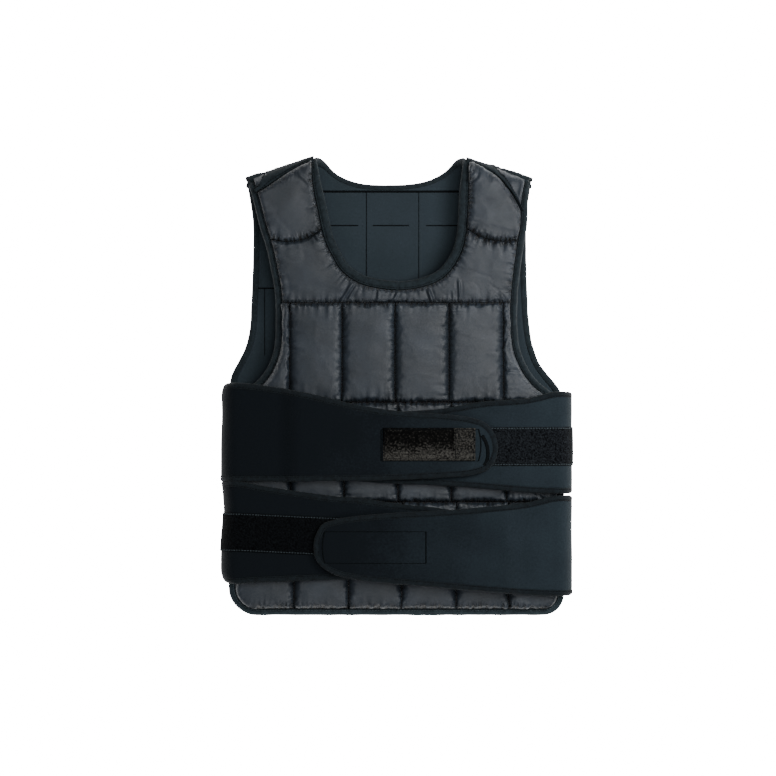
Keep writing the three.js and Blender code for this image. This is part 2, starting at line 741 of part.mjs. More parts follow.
function neckBinding() {
  const rings = [neckBottomRing(FRONT, NECK_BINDING_WIDTH)];
  rings.push(...neckRings(FRONT, -1, NECK_TAPE_TOP, NECK_BINDING_WIDTH));
  rings.push(...neckRings(BACK, -1, 1, BACK_NECK_BINDING_WIDTH).reverse());
  rings.push(neckBottomRing(BACK, BACK_NECK_BINDING_WIDTH));
  rings.push(...neckRings(BACK, 1, 1, BACK_NECK_BINDING_WIDTH));
  rings.push(...neckRings(FRONT, 1, NECK_TAPE_TOP, NECK_BINDING_WIDTH).reverse());
  add("neck_binding", band(rings, true), MATERIALS.binding);
}

function armholeBindings() {
  for (const side of [-1, 1]) {
    const strap = evenly(8).slice(1);
    const front = sideRings(FRONT, side, rowOf(FRONT, 0, ARMHOLE_START * BODY_LENGTH), NECK_TAPE_TOP, strap);
    const back = sideRings(BACK, side, rowOf(BACK, 0, ARMHOLE_START * BODY_LENGTH), 1, strap);
    add(`armhole_binding_${sideName(side)}`, band([...front, ...back.reverse()], false), MATERIALS.binding);
  }
}

function edgeBindings() {
  for (const [name, panel] of [["front", FRONT], ["back", BACK]]) {
    const top = rowOf(panel, 0, ARMHOLE_START * BODY_LENGTH - SEWN_GAP);
    const [left, right] = [-1, 1].map((side) => sideRings(panel, side, -1, top, []));
    const down = new THREE.Vector2(0, -1);
    const hem = [-0.5, 0, 0.5].map((share) =>
      panelRing(panel, { x: share * HALF_WIDTH, y: 0, normal: down }, 1, BINDING_WIDTH));
    add(`${name}_edge_binding`, band([...left.reverse(), ...hem, ...right], false), MATERIALS.binding);
  }
}

// Side wraps: (reach, height) on a sheet that starts at the back's side edge and curls up over the front.

function wrapTop(wrap) {
  const above = WRAPS[wrap.above];
  return above ? wrapTop(above) - above.height - wrap.gap : wrap.top * BODY_LENGTH;
}

function wrapFloor(wrap, x, y) {
  const under = WRAPS[wrap.under];
  const past = under ? (x - under.side * (CURL_X - under.reach)) * under.side : 0;
  const lift = under ? LAYERS_BETWEEN * smoothstep(past, -LIFT_RAMP, -WRAP_THICKNESS) : 0;
  return frontFloor(x, y) + POCKET_HEIGHT + QUILT_GAP + lift;
}

function wrapSurface(wrap) {
  return (reach, y, out) => {
    const x = wrap.side * (CURL_X - Math.max(0, reach));
    const floor = wrapFloor(wrap, x, y);
    const turn = Math.max(0, -reach) / CURL_ARC;
    const rise = (floor - ROOT_HEIGHT) / (1 - Math.cos(ROOT_ANGLE));
    const curled = wrap.side * (CURL_BULGE + out) * Math.sin(turn);
    return new THREE.Vector3(x + curled, y, floor - rise + (rise + out) * Math.cos(turn));
  };
}

// Edge of a wrap, from the root along the top to the tip and back along the bottom, moved inwards.
function wrapEdge(wrap, inset) {
  const height = (share) => wrapTop(wrap) - share * wrap.height;
  const upper = wrap.edges.map((row) => [row.along * wrap.reach, height(row.top)]);
  const lower = wrap.edges.map((row) => [row.along * wrap.reach, height(row.bottom)]).reverse();
  const root = (share) => [[ROOT_REACH, height(share)], [ROOT_REACH / 2, height(share)]];
  const points = [...root(0), ...upper, [wrap.reach, height(wrap.tip)], ...lower, ...root(1).reverse()];
  const line = offsetLine(smoothLine(points), inset);
  const tip = line.reduce((best, point, i) => (point.x > line[best].x ? i : best), 0);
  return { upper: line.slice(0, tip + 1), lower: line.slice(tip).reverse(), tip: line[tip] };
}

const ROOT_STEPS = [1, 0.75, 0.5, 0.25];
const FRONT_STEPS = [0, 0.12, 0.25, 0.38, 0.5, 0.62, 0.74, 0.84, 0.91, 0.96, 0.985, 0.998];

const reachStations = (end) => [
  ...ROOT_STEPS.map((share) => share * ROOT_REACH),
  ...FRONT_STEPS.map((share) => share * end),
];

function wrapSheet(wrap) {
  const edge = wrapEdge(wrap, WRAP_BINDING_WIDTH + SEWN_GAP);
  const body = new Body(wrapSurface(wrap));
  const low = WRAP_BINDING_RISE;
  const high = low + WRAP_THICKNESS;
  body.grid(reachStations(edge.tip.x).map((reach) => {
    const top = crossing(edge.upper, (p) => p.x, reach).y;
    const bottom = crossing(edge.lower, (p) => p.x, reach).y;
    return evenly(2).map((share) => ({ x: reach, y: lerp(bottom, top, share), low, high }));
  }));
  return body.geometry();
}

function wrapBinding(wrap) {
  const edge = wrapEdge(wrap, WRAP_BINDING_WIDTH);
  const surface = wrapSurface(wrap);
  const high = WRAP_THICKNESS + 2 * WRAP_BINDING_RISE;
  const ring = (place, outward) => tapeRing(surface, place, outward, WRAP_BINDING_WIDTH, 0, high);
  const along = (line, outward) => reachStations(edge.tip.x).map((reach) =>
    ring(crossing(line, (p) => p.x, reach), outward));
  const tip = ring({ x: edge.tip.x, y: edge.tip.y, normal: new THREE.Vector2(1, 0) }, 1);
  return band([...along(edge.upper, -1), tip, ...along(edge.lower, 1).reverse()], false);
}

// Flat piece on a wrap, between two reaches, round a middle line.
function onWrap(wrap, reaches, middle, width, low, high) {
  const body = new Body(wrapSurface(wrap));
  body.grid(reaches.map((reach) => [-0.5, 0.5].map((side) => ({
    x: reach,
    y: wrapTop(wrap) - middle(reach) * wrap.height + side * width,
    low,
    high: high(reach),
  }))));
  return body.geometry();
}

const WRAP_TOP = WRAP_BINDING_RISE + WRAP_THICKNESS + SEWN_GAP;

function wraps() {
  for (const [name, wrap] of Object.entries(WRAPS)) {
    add(`wrap_${name}`, wrapSheet(wrap), MATERIALS.neoprene);
    add(`wrap_binding_${name}`, wrapBinding(wrap), MATERIALS.binding);
  }
  for (const [name, tape] of Object.entries(LOOP_TAPES)) {
    const wrap = WRAPS[tape.wrap];
    const tip = wrapEdge(wrap, WRAP_BINDING_WIDTH + SEWN_GAP).tip.x;
    const reaches = reachStations(tip).filter((reach) => reach < tape.end * wrap.reach);
    const middle = (reach) => lerp(tape.rootMiddle, tape.tipMiddle, Math.max(0, reach) / wrap.reach);
    const high = () => WRAP_TOP + LOOP_THICKNESS;
    add(`loop_tape_${name}`, onWrap(wrap, reaches, middle, TAPE_WIDTH, WRAP_TOP, high), MATERIALS.loop);
  }
  for (const [name, tape] of Object.entries(HOOK_TAPES)) {
    const wrap = WRAPS[tape.wrap];
    const reaches = evenly(5).map((share) => lerp(tape.start, tape.end, share) * wrap.reach);
    const high = () => WRAP_BINDING_RISE - SEWN_GAP;
    const low = WRAP_BINDING_RISE - SEWN_GAP - HOOK_THICKNESS;
    add(`hook_tape_${name}`, onWrap(wrap, reaches, () => tape.middle, HOOK_WIDTH, low, high), MATERIALS.hook);
  }
  const wrap = WRAPS[PATCH.wrap];
  const tab = PATCH.tab * wrap.reach;
  const reaches = [0, 0.25, 0.5, 0.75].map((share) => lerp(PATCH.start * wrap.reach, tab, share));
  reaches.push(tab - PATCH_TAB_SLOPE, tab + PATCH_TAB_SLOPE, PATCH.end * wrap.reach);
  const high = (reach) => WRAP_TOP + PATCH_THICKNESS + (reach > tab ? PATCH_TAB_RISE : 0);
  add("label_patch", onWrap(wrap, reaches, () => PATCH.middle, PATCH_WIDTH, WRAP_TOP, high), MATERIALS.satin);
}

frontPockets();
backChannels();
shoulderPads();
yokes();
shoulderSeams();
add("front_lining", lining(FRONT, TAPE_ROW - ROW_GAP), MATERIALS.lining);
add("back_lining", lining(BACK, 1 - ROW_GAP), MATERIALS.lining);
neckBinding();
armholeBindings();
edgeBindings();
wraps();

// The origin is at the middle of the vest's underside.
const bounds = new THREE.Box3().setFromObject(vest);
const centre = bounds.getCenter(new THREE.Vector3());
vest.position.set(-centre.x, -centre.y, -bounds.min.z);
vest.updateMatrixWorld(true);

export default vest;
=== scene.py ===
"""Looks of a weighted vest: quilted nylon panels, neoprene wraps and linings, sewn tapes and a bare label."""

import bpy
import numpy as np
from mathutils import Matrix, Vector


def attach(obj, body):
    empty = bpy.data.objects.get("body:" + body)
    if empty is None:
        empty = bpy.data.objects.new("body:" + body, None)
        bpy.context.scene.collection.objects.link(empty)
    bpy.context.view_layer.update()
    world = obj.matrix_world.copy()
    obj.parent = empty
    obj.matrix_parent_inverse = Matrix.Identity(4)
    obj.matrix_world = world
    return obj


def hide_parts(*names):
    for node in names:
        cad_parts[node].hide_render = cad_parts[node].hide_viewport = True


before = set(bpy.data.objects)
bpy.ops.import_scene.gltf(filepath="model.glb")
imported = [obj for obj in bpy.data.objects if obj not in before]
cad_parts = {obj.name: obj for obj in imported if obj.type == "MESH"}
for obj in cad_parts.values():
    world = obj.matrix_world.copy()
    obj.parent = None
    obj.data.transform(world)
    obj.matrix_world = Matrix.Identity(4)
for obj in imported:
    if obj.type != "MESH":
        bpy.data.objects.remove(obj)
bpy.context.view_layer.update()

# Sizes, in millimetres, as in the part's source. HEM_Y is the hem's quilting edge in the row frame.
HEM_Y = -290.899
HALF_WIDTH = 210
BODY_LENGTH = 590
CORNER_RADIUS = 28
RIGHT_CORNER_RADIUS = 19
LINING_THICKNESS = 3
POCKET_HEIGHT = 19.5
SHOULDER_HEIGHT = 14
FLOOR_SEAM_RISE = 18.6
HOLLOW_SHOULDER = 22
HOLLOW_MIDDLE = 24
HOLLOW_SIDE = 8
HEM_HOLLOW_SHARE = 0.55
DOME_TOP = 0.6
LEVEL_FROM = 0.85
SHOULDER_CENTRE = -11
SHOULDER_SLOPE = 0.375
SHOULDER_ROUNDING = 60
SHOULDER_RISE = 49
SEAM_ANGLE_NECK = np.radians(95)
SEAM_ANGLE_ARM = np.radians(62)
SEAM_NECK_REACH = 99
SEAM_ARM_REACH = 176
BINDING_WIDTH = 8.5
NECK_BINDING_WIDTH = 12
BACK_NECK_BINDING_WIDTH = 7
BINDING_RISE = 7
BINDING_DROP = 1
WRAP_HEIGHT = 130
WRAP_REACH = 338
WRAP_GAP_RIGHT = 4.5
WRAP_THICKNESS = 4
WRAP_BINDING_WIDTH = 8
WRAP_BINDING_RISE = 0.5
CURL_INSET = 4
CURL_BULGE = 18
ROOT_ANGLE = np.radians(134)
ROOT_HEIGHT = 13
LIFT_RAMP = 32
TAPE_WIDTH = 50
LOOP_THICKNESS = 1.2
HOOK_WIDTH = 45
HOOK_THICKNESS = 1.5
PATCH_WIDTH = 42
PATCH_THICKNESS = 1.2
SEWN_GAP = 0.3
FABRIC_INSET = 0.4
QUILT_GAP = 0.6
SEAM_TAPE_WIDTH = 10
SIDE_CHANNEL_LEFT = 2
SIDE_CHANNEL_RIGHT = 11
FOLD_RADIUS = HOLLOW_SHOULDER / 2 + LINING_THICKNESS
FOLD_HEIGHT = FLOOR_SEAM_RISE + FOLD_RADIUS
CURL_X = HALF_WIDTH - CURL_INSET
CURL_ARC = CURL_BULGE + WRAP_THICKNESS / 2
ROOT_REACH = -ROOT_ANGLE * CURL_ARC
LAYERS_BETWEEN = WRAP_THICKNESS + LOOP_THICKNESS + HOOK_THICKNESS + 3 * SEWN_GAP
WRAP_TOP = WRAP_BINDING_RISE + WRAP_THICKNESS + SEWN_GAP

# Seams, as shares of BODY_LENGTH up and of HALF_WIDTH across.
LOWER_SEAMS = [0, 0.2358, 0.4555, 0.675]
FRONT_COLUMNS = [
    [-1, -0.662, -0.337, -0.01, 0.325, 0.662, 1],
    [-1, -0.657, -0.325, 0.009, 0.34, 0.681, 1],
    [-1, -0.635, -0.297, 0.034, 0.371, 0.693, 1],
]
BACK_COLUMNS = [
    -1,
    (CORNER_RADIUS + SIDE_CHANNEL_LEFT) / HALF_WIDTH - 1,
    -0.524,
    -0.189,
    0.146,
    0.48,
    1 - (CORNER_RADIUS + SIDE_CHANNEL_RIGHT) / HALF_WIDTH,
    1,
]
BACK_SEAMS = [0, 0.186, 0.406, 0.626, 0.8466]
BACK_SIDE_TOP = 0.532
PAD_SEAM_LEFT = 0.486
PAD_SEAM_RIGHT = 0.509
PAD_SAG = 0.05
BACK_YOKE_TOP = 0.3
SIDES_STRAIGHT = 0.4
ARMHOLE_START = 0.43

# Quilt edges: share of the height, then left and right across. Neck edges: across, then height.
FRONT_SIDES = np.array([
    [0.43, 1.0, 1.0], [0.446, 0.99, 0.99], [0.469, 0.933, 0.926], [0.489, 0.848, 0.857],
    [0.508, 0.798, 0.81], [0.526, 0.765, 0.776], [0.57, 0.721, 0.726], [0.636, 0.709, 0.707],
    [0.7025, 0.715, 0.714], [0.752, 0.74, 0.729], [0.8025, 0.771, 0.748], [0.847, 0.81, 0.769],
    [0.911, 0.857, 0.779], [1.0, 0.95, 0.85],
])
BACK_SIDES = np.array([
    [0.43, 1.0, 1.0], [0.462, 1.0, 0.995], [0.482, 1.0, 0.967], [0.509, 0.99, 0.905],
    [0.536, 0.952, 0.852], [0.57, 0.905, 0.814], [0.614, 0.874, 0.79], [0.674, 0.862, 0.776],
    [0.775, 0.852, 0.767], [0.857, 0.852, 0.767], [0.93, 0.883, 0.79], [1.06, 0.93, 0.85],
])
FRONT_NECK = np.array([
    [-0.532, 1.05], [-0.517, 0.935], [-0.486, 0.879], [-0.443, 0.813], [-0.4, 0.78], [-0.35, 0.75],
    [-0.288, 0.73], [-0.2, 0.714], [0.022, 0.703], [0.2, 0.714], [0.288, 0.73], [0.343, 0.75],
    [0.393, 0.78], [0.423, 0.813], [0.44, 0.879], [0.445, 0.935], [0.45, 1.05],
])
BACK_NECK = np.array([
    [-0.538, 1.05], [-0.53, 1.005], [-0.5, 0.988], [-0.452, 0.972], [-0.41, 0.957], [-0.357, 0.944],
    [-0.24, 0.929], [0.0, 0.9246], [0.167, 0.931], [0.248, 0.9405], [0.305, 0.952], [0.352, 0.966],
    [0.395, 0.982], [0.438, 1.002], [0.452, 1.05],
])

# Wraps: side sewn to, height of the sewn edge's top, height, reach over the front, its tip and the wrap it lies over.
# Edges: along the reach, then top and bottom as shares of the height, down from the top.
RIGHT_TOP = 0.4794 * BODY_LENGTH
LEFT_TOP = 0.4989 * BODY_LENGTH
WRAPS = {
    "upper_right": (1, RIGHT_TOP, 1.024 * WRAP_HEIGHT, 0.97 * WRAP_REACH, 0.569, None, [
        [0, 0, 1], [0.1, 0.059, 0.988], [0.3, 0.102, 0.947], [0.456, 0.167, 0.918], [0.694, 0.21, 0.893],
        [0.853, 0.259, 0.854], [0.94, 0.337, 0.785], [0.986, 0.451, 0.677],
    ]),
    "upper_left": (-1, LEFT_TOP, 0.99 * WRAP_HEIGHT, WRAP_REACH, 0.66, "upper_right", [
        [0, 0, 1], [0.16, 0.05, 1], [0.354, 0.155, 0.995], [0.469, 0.227, 0.99], [0.623, 0.287, 0.98],
        [0.777, 0.312, 0.96], [0.892, 0.348, 0.935], [0.95, 0.403, 0.89], [0.984, 0.5, 0.81],
    ]),
    "lower_left": (-1, LEFT_TOP - 0.99 * WRAP_HEIGHT + 0.8, WRAP_HEIGHT + 3.8, 1.009 * WRAP_REACH, 0.59, None, [
        [0, 0, 1], [0.084, 0.04, 0.985], [0.351, 0.14, 0.96], [0.466, 0.16, 0.95], [0.618, 0.22, 0.93],
        [0.771, 0.26, 0.9], [0.905, 0.34, 0.84], [0.969, 0.46, 0.72],
    ]),
    "lower_right": (
        1, RIGHT_TOP - 1.005 * WRAP_HEIGHT - WRAP_GAP_RIGHT, 1.006 * WRAP_HEIGHT, 0.929 * WRAP_REACH, 0.513,
        "lower_left", [
            [0, 0, 1], [0.104, 0.06, 0.99], [0.311, 0.116, 0.95], [0.476, 0.145, 0.915], [0.642, 0.165, 0.881],
            [0.807, 0.195, 0.841], [0.911, 0.235, 0.786], [0.965, 0.284, 0.707], [0.992, 0.404, 0.622],
        ],
    ),
}
# Radius of each wrap's rounded corners at its curl, top and bottom, and how far its tape pulls the curl in.
WRAP_CORNERS = {
    "upper_right": (6, 4, 0), "upper_left": (18, 1, 1.5), "lower_left": (1, 20, 4), "lower_right": (4, 6, 0),
}
# Tapes and label: reach where they start and end, and middle line at the root and at the tip, as shares of the wrap.
# Hook tapes: also how far their stitches go on past the end.
LOOP_TAPES = {"upper": ("upper_right", 0.86, 0.535, 0.54), "lower": ("lower_left", 0.86, 0.495, 0.61)}
HOOK_TAPES = {"upper": ("upper_left", 0.545, 0.93, 0.63, -2), "lower": ("lower_right", 0.528, 0.93, 0.513, 7)}
PATCH_START, PATCH_TAB, PATCH_END, PATCH_MIDDLE = 0.558, 0.83, 0.912, 0.62
# Dark bar between the upper over-wrap's sheet and its binding, laid as painted shadow for the gap there, as reach and
# height.
TIP_SHADOW_BAR = np.array([[317, 226], [322.5, 215], [324.5, 203], [323, 193], [319.5, 187]])


def step(value, low, high):
    """0 below low, 1 above high, and 3s² - 2s³ of the share s between them."""
    share = np.clip((value - low) / (high - low), 0, 1)
    return share * share * (3 - 2 * share)


def mix(start, end, share):
    """Start at share 0 and end at share 1, straight between them."""
    return start + (end - start) * share


def spaced(length, pitch):
    """Shares from 0 to 1 whose steps on this length are about one pitch."""
    return np.linspace(0, 1, max(2, int(round(length / pitch))) + 1)


# Panels


def fold_line(x):
    """Height where a panel starts to curl over: the peak less the slope times the rounded distance from the middle."""
    aside = np.hypot(x - SHOULDER_CENTRE, SHOULDER_ROUNDING)
    return BODY_LENGTH + SHOULDER_RISE - SHOULDER_SLOPE * aside - FOLD_RADIUS - SHOULDER_HEIGHT


def seam_angle(x):
    """Turn round the fold where the shoulder seam lies, from the neck's to the arm's in step with the distance out."""
    along = (np.abs(x - SHOULDER_CENTRE) - SEAM_NECK_REACH) / (SEAM_ARM_REACH - SEAM_NECK_REACH)
    return mix(SEAM_ANGLE_NECK, SEAM_ANGLE_ARM, np.clip(along, 0, 1))


def front_floor(x, y):
    """Height of the front lining's outer face: a dome of 1 - (x / half width)², level under the shoulders."""
    side = 1 - np.minimum(1, (x / HALF_WIDTH) ** 2)
    up = mix(HEM_HOLLOW_SHARE, 1, step(y, 0, BODY_LENGTH * DOME_TOP))
    domed = HOLLOW_SIDE + (HOLLOW_MIDDLE - HOLLOW_SIDE) * side * up
    level = step(y, BODY_LENGTH * DOME_TOP, BODY_LENGTH * LEVEL_FROM)
    return FLOOR_SEAM_RISE + 2 * LINING_THICKNESS + mix(domed, HOLLOW_SHOULDER, level)


def front_surface(x, height, out):
    """Point at x and height on the front lining's outer face, raised by out. Past the fold line it runs on round a
    cylinder."""
    fold = fold_line(x)
    turn = np.maximum(0, height - fold) / FOLD_RADIUS
    radius = FOLD_RADIUS + out
    y = np.where(height <= fold, height, fold + radius * np.sin(turn))
    z = np.where(height <= fold, front_floor(x, height) + out, FOLD_HEIGHT + radius * np.cos(turn))
    return np.stack(np.broadcast_arrays(x, y, z), -1)


def back_surface(x, height, out):
    """The same from below; what would sink under the floor is flattened on it."""
    fold = fold_line(x)
    turn = np.maximum(0, height - fold) / FOLD_RADIUS
    radius = FOLD_RADIUS + out
    y = np.minimum(height, fold) + radius * np.sin(turn)
    z = np.maximum(0, FOLD_HEIGHT - radius * np.cos(turn))
    return np.stack(np.broadcast_arrays(x, y, z), -1)


def smooth_line(points, steps=16):
    """Centripetal Catmull-Rom curve: on each span a cubic, whose end slopes weigh the spans by the square root of
    their length."""
    knots = np.asarray(points, float)
    knots = np.vstack([2 * knots[0] - knots[1], knots, 2 * knots[-1] - knots[-2]])
    gaps = np.sqrt(np.linalg.norm(np.diff(knots, axis=0), axis=1))[:, None]
    before, start, end, after = knots[:-3], knots[1:-2], knots[2:-1], knots[3:]
    first, span, last = gaps[:-2], gaps[1:-1], gaps[2:]
    slope_out = span * ((start - before) / first - (end - before) / (first + span) + (end - start) / span)
    slope_in = span * ((end - start) / span - (after - start) / (span + last) + (after - end) / last)
    t = (np.arange(steps) / steps)[None, :, None]
    curve = (
        (2 * t**3 - 3 * t**2 + 1) * start[:, None]
        + (t**3 - 2 * t**2 + t) * slope_out[:, None]
        + (3 * t**2 - 2 * t**3) * end[:, None]
        + (t**3 - t**2) * slope_in[:, None]
    )
    return np.vstack([curve.reshape(-1, 2), end[-1:]])


def right_of(line):
    """Unit vectors to the right of a line's direction, from the chord between each point's neighbours."""
    along = line[np.minimum(np.arange(len(line)) + 1, len(line) - 1)] - line[np.maximum(np.arange(len(line)) - 1, 0)]
    along /= np.linalg.norm(along, axis=1)[:, None]
    return np.stack([along[:, 1], -along[:, 0]], 1)


def offset_line(line, distance):
    """The line moved to its right by distance."""
    return line + right_of(line) * distance


class Panel:
    """Front or back of the vest: its surface, outlines, and rows that run level up to row_start and then lean with
    the shoulder seam."""

    def __init__(self, surface, row_start, turn, sides, neck):
        self.surface, self.row_start, self.turn, self.sides, self.neck = surface, row_start, turn, sides, neck

    def seam(self, x):
        """Height of the shoulder seam: the fold line and the arc from there to the seam."""
        angle = seam_angle(x)
        return fold_line(x) + FOLD_RADIUS * (angle if self.turn > 0 else np.pi - angle)

    def row_of(self, x, y):
        """-1 at the hem, 0 at row_start, 1 at the shoulder seam."""
        above = (y - self.row_start) / (self.seam(x) - self.row_start)
        return np.where(y <= self.row_start, y / self.row_start - 1, above)

    def height_of(self, x, row):
        """The height of a row at x, which undoes row_of."""
        return np.where(row <= 0, (row + 1) * self.row_start, mix(self.row_start, self.seam(x), row))

    def side_line(self, side, distance):
        """Side edge from the rounded hem corner up, pushed out by distance."""
        turn = np.arange(6) / 6 * np.pi / 2
        radius = CORNER_RADIUS if side < 0 else RIGHT_CORNER_RADIUS
        corner = np.stack([HALF_WIDTH - radius * (1 - np.sin(turn)), radius * (1 - np.cos(turn))], 1)
        straight = [[HALF_WIDTH, radius], [HALF_WIDTH, BODY_LENGTH * SIDES_STRAIGHT]]
        rows = np.stack([self.sides[:, 1 if side < 0 else 2] * HALF_WIDTH, self.sides[:, 0] * BODY_LENGTH], 1)
        line = smooth_line(np.vstack([corner, straight, rows]) * [side, 1])
        return offset_line(line, side * distance)

    def neck_line(self, side, distance):
        """Half of the neck edge from its lowest point up, pushed into the quilting by distance."""
        moved = offset_line(smooth_line(self.neck * [HALF_WIDTH, BODY_LENGTH]), distance)
        lowest = int(moved[:, 1].argmin())
        return moved[: lowest + 1][::-1] if side < 0 else moved[lowest:]

    def row_at(self, line, row):
        """Places where a line crosses rows."""
        rows = self.row_of(line[:, 0], line[:, 1])
        return np.stack([np.interp(row, rows, line[:, 0]), np.interp(row, rows, line[:, 1])], -1)

    def edge_x(self, side, inset, row):
        """Across, where the side edge, pushed in by inset, crosses a row."""
        return self.row_at(self.side_line(side, -inset), row)[..., 0]

    def neck_x(self, side, inset, row, middle_gap=0):
        """Across, where the neck edge crosses a row, or the middle line below the neck."""
        neck = self.neck_line(side, inset)
        start = self.row_of(neck[0, 0], neck[0, 1])
        on_neck = self.row_at(neck, row)[..., 0]
        return np.where(row <= start, neck[0, 0] + side * middle_gap, on_neck)


FRONT = Panel(front_surface, LOWER_SEAMS[3] * BODY_LENGTH, 1, FRONT_SIDES, FRONT_NECK)
BACK = Panel(back_surface, BACK_SEAMS[4] * BODY_LENGTH, -1, BACK_SIDES, BACK_NECK)
STRAP_MIDDLE = SHOULDER_CENTRE - (SEAM_NECK_REACH + SEAM_ARM_REACH) / 2
TAPE_ROW = 1 - SEAM_TAPE_WIDTH / (FRONT.seam(STRAP_MIDDLE) - FRONT.row_start)
FOLD_ROW = 1 + 7 / 170


# Random unevenness, the same each run


def scatter(number, seed):
    """Scattered value from 0 to 1 for a whole number: the fraction left of a large sine."""
    return np.modf(np.abs(np.sin(number * 12.9898 + seed * 78.233) * 43758.5453))[0]


def uneven(x, y, seed):
    """Smooth random field from -1 to 1: scattered corner values of unit squares, blended by 3s² - 2s³ both ways."""
    column, row = np.floor(x), np.floor(y)
    across, up = step(x - column, 0, 1), step(y - row, 0, 1)
    low = mix(scatter(column + 157.31 * row, seed), scatter(column + 1 + 157.31 * row, seed), across)
    row = row + 1
    high = mix(scatter(column + 157.31 * row, seed), scatter(column + 1 + 157.31 * row, seed), across)
    return 2 * mix(low, high, up) - 1


# Meshes from grids


def cells(ids):
    """Four corners of each cell of a grid of point numbers."""
    return np.stack([ids[:-1, :-1], ids[:-1, 1:], ids[1:, 1:], ids[1:, :-1]], -1).reshape(-1, 4)


def rim(ids):
    """Point numbers once round the edge of a grid."""
    return np.concatenate([ids[0, :-1], ids[:-1, -1], ids[-1, :0:-1], ids[:0:-1, 0]])


def pillow(top, bottom):
    """Closed skin of two grids that share one rim: all points of the top, and the inner ones of the bottom."""
    ids = np.arange(top.shape[0] * top.shape[1]).reshape(top.shape[:2])
    inner = bottom[1:-1, 1:-1].reshape(-1, 3)
    under = ids.copy()
    under[1:-1, 1:-1] = (ids.size + np.arange(len(inner))).reshape(under[1:-1, 1:-1].shape)
    return np.vstack([top.reshape(-1, 3), inner]), np.vstack([cells(ids), cells(under)[:, ::-1]])


def slab(low, high, faces=None):
    """Closed sheet between two grids or lists of points, with a wall along each edge that only one face has."""
    if faces is None:
        faces = cells(np.arange(low.shape[0] * low.shape[1]).reshape(low.shape[:2]))
    low, high = low.reshape(-1, 3), high.reshape(-1, 3)
    edges = np.concatenate([faces[:, [k, (k + 1) % 4]] for k in range(4)])
    number = np.unique(np.sort(edges, axis=1), axis=0, return_inverse=True)[1].ravel()
    alone = edges[np.bincount(number)[number] == 1]
    walls = np.stack([alone[:, 0], alone[:, 1], alone[:, 1] + len(low), alone[:, 0] + len(low)], 1)
    return np.vstack([low, high]), np.vstack([faces + len(low), faces[:, ::-1], walls])


def swept(rings, closed):
    """Skin of a section carried along a path: rings[i, k] is point k of the section at place i; open ends get caps."""
    count, size = rings.shape[:2]
    ids = np.arange(count * size).reshape(count, size)
    ids = np.hstack([ids, ids[:, :1]])
    if closed:
        return rings.reshape(-1, 3), cells(np.vstack([ids, ids[:1]]))
    half = np.arange(size // 2)
    caps = [cells(np.stack([end[half], end[size - 1 - half]])) for end in (ids[0, :-1], ids[-1, :-1])]
    return rings.reshape(-1, 3), np.vstack([cells(ids), caps[0], caps[1][:, ::-1]])


def outwards(points, faces):
    """The faces of a closed body, all turned round if it encloses a negative volume."""
    a, b, c, d = (points[faces[:, k]] for k in range(4))
    volume = np.einsum("ij,ij->", a, np.cross(b, c)) + np.einsum("ij,ij->", a, np.cross(c, d))
    return faces if volume > 0 else faces[:, ::-1]


def new_piece(name, skins, finish, slot, *nodes, along=None):
    """One object from closed skins in millimetres, riding on the vest; along gives each point's place on a tape."""
    counts = np.cumsum([0] + [len(points) for points, faces in skins])
    faces = np.vstack([outwards(points, faces) + first for (points, faces), first in zip(skins, counts)])
    points = (np.vstack([points for points, faces in skins]) + [0, HEM_Y, 0]) / 1000
    mesh = bpy.data.meshes.new(name)
    mesh.vertices.add(len(points))
    mesh.vertices.foreach_set("co", points.astype(np.float32).ravel())
    mesh.loops.add(faces.size)
    mesh.loops.foreach_set("vertex_index", faces.astype(np.int32).ravel())
    mesh.polygons.add(len(faces))
    mesh.polygons.foreach_set("loop_start", np.arange(0, faces.size, 4, dtype=np.int32))
    mesh.update(calc_edges=True)
    mesh.shade_smooth()
    if along is not None:
        layer = mesh.attributes.new("along", "FLOAT_VECTOR", "POINT")
        layer.data.foreach_set("vector", (along / 1000).astype(np.float32).ravel())
    mesh.materials.append(finish)
    piece = bpy.data.objects.new(name, mesh)
    bpy.context.scene.collection.objects.link(piece)
    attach(piece, "root")
    if nodes:
        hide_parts(*nodes)
    return piece


# Finishes


def linear(colour):
    """Linear RGBA of an sRGB hex colour: a twelfth and a bit of small values, and the 2.4th power of the others."""
    channels = np.array([int(colour[i : i + 2], 16) for i in (1, 3, 5)]) / 255
    values = np.where(channels <= 0.04045, channels / 12.92, ((channels + 0.055) / 1.055) ** 2.4)
    return (*(float(value) for value in values), 1.0)


def add_node(tree, kind, sockets=(), **settings):
    """Adds a node with its settings, and sets or links its inputs, given as name: value or another node's output."""
    node = tree.nodes.new(kind)
    for name, value in settings.items():
        setattr(node, name, value)
    for name, value in dict(sockets).items():
        if isinstance(value, bpy.types.NodeSocket):
            tree.links.new(value, node.inputs[name])
        else:
            node.inputs[name].default_value = value
    return node


def new_finish(name, **sockets):
    """A material with one Principled shader, whose sockets are given by name with _ for each space."""
    finish = bpy.data.materials.new(name)
    finish.use_nodes = True
    tree = finish.node_tree
    tree.nodes.clear()
    named = {key.replace("_", " "): value for key, value in sockets.items()}
    shader = add_node(tree, "ShaderNodeBsdfPrincipled", named)
    add_node(tree, "ShaderNodeOutputMaterial", {"Surface": shader.outputs["BSDF"]})
    return finish, tree, shader


def shade(tree, shader, texture, dark, light, low=0.3, high=0.7):
    """Base colour between two hex colours in step with a texture's value."""
    ramp = add_node(tree, "ShaderNodeValToRGB", {"Fac": texture})
    ramp.color_ramp.elements[0].position, ramp.color_ramp.elements[1].position = low, high
    ramp.color_ramp.elements[0].color, ramp.color_ramp.elements[1].color = linear(dark), linear(light)
    tree.links.new(ramp.outputs["Color"], shader.inputs["Base Color"])


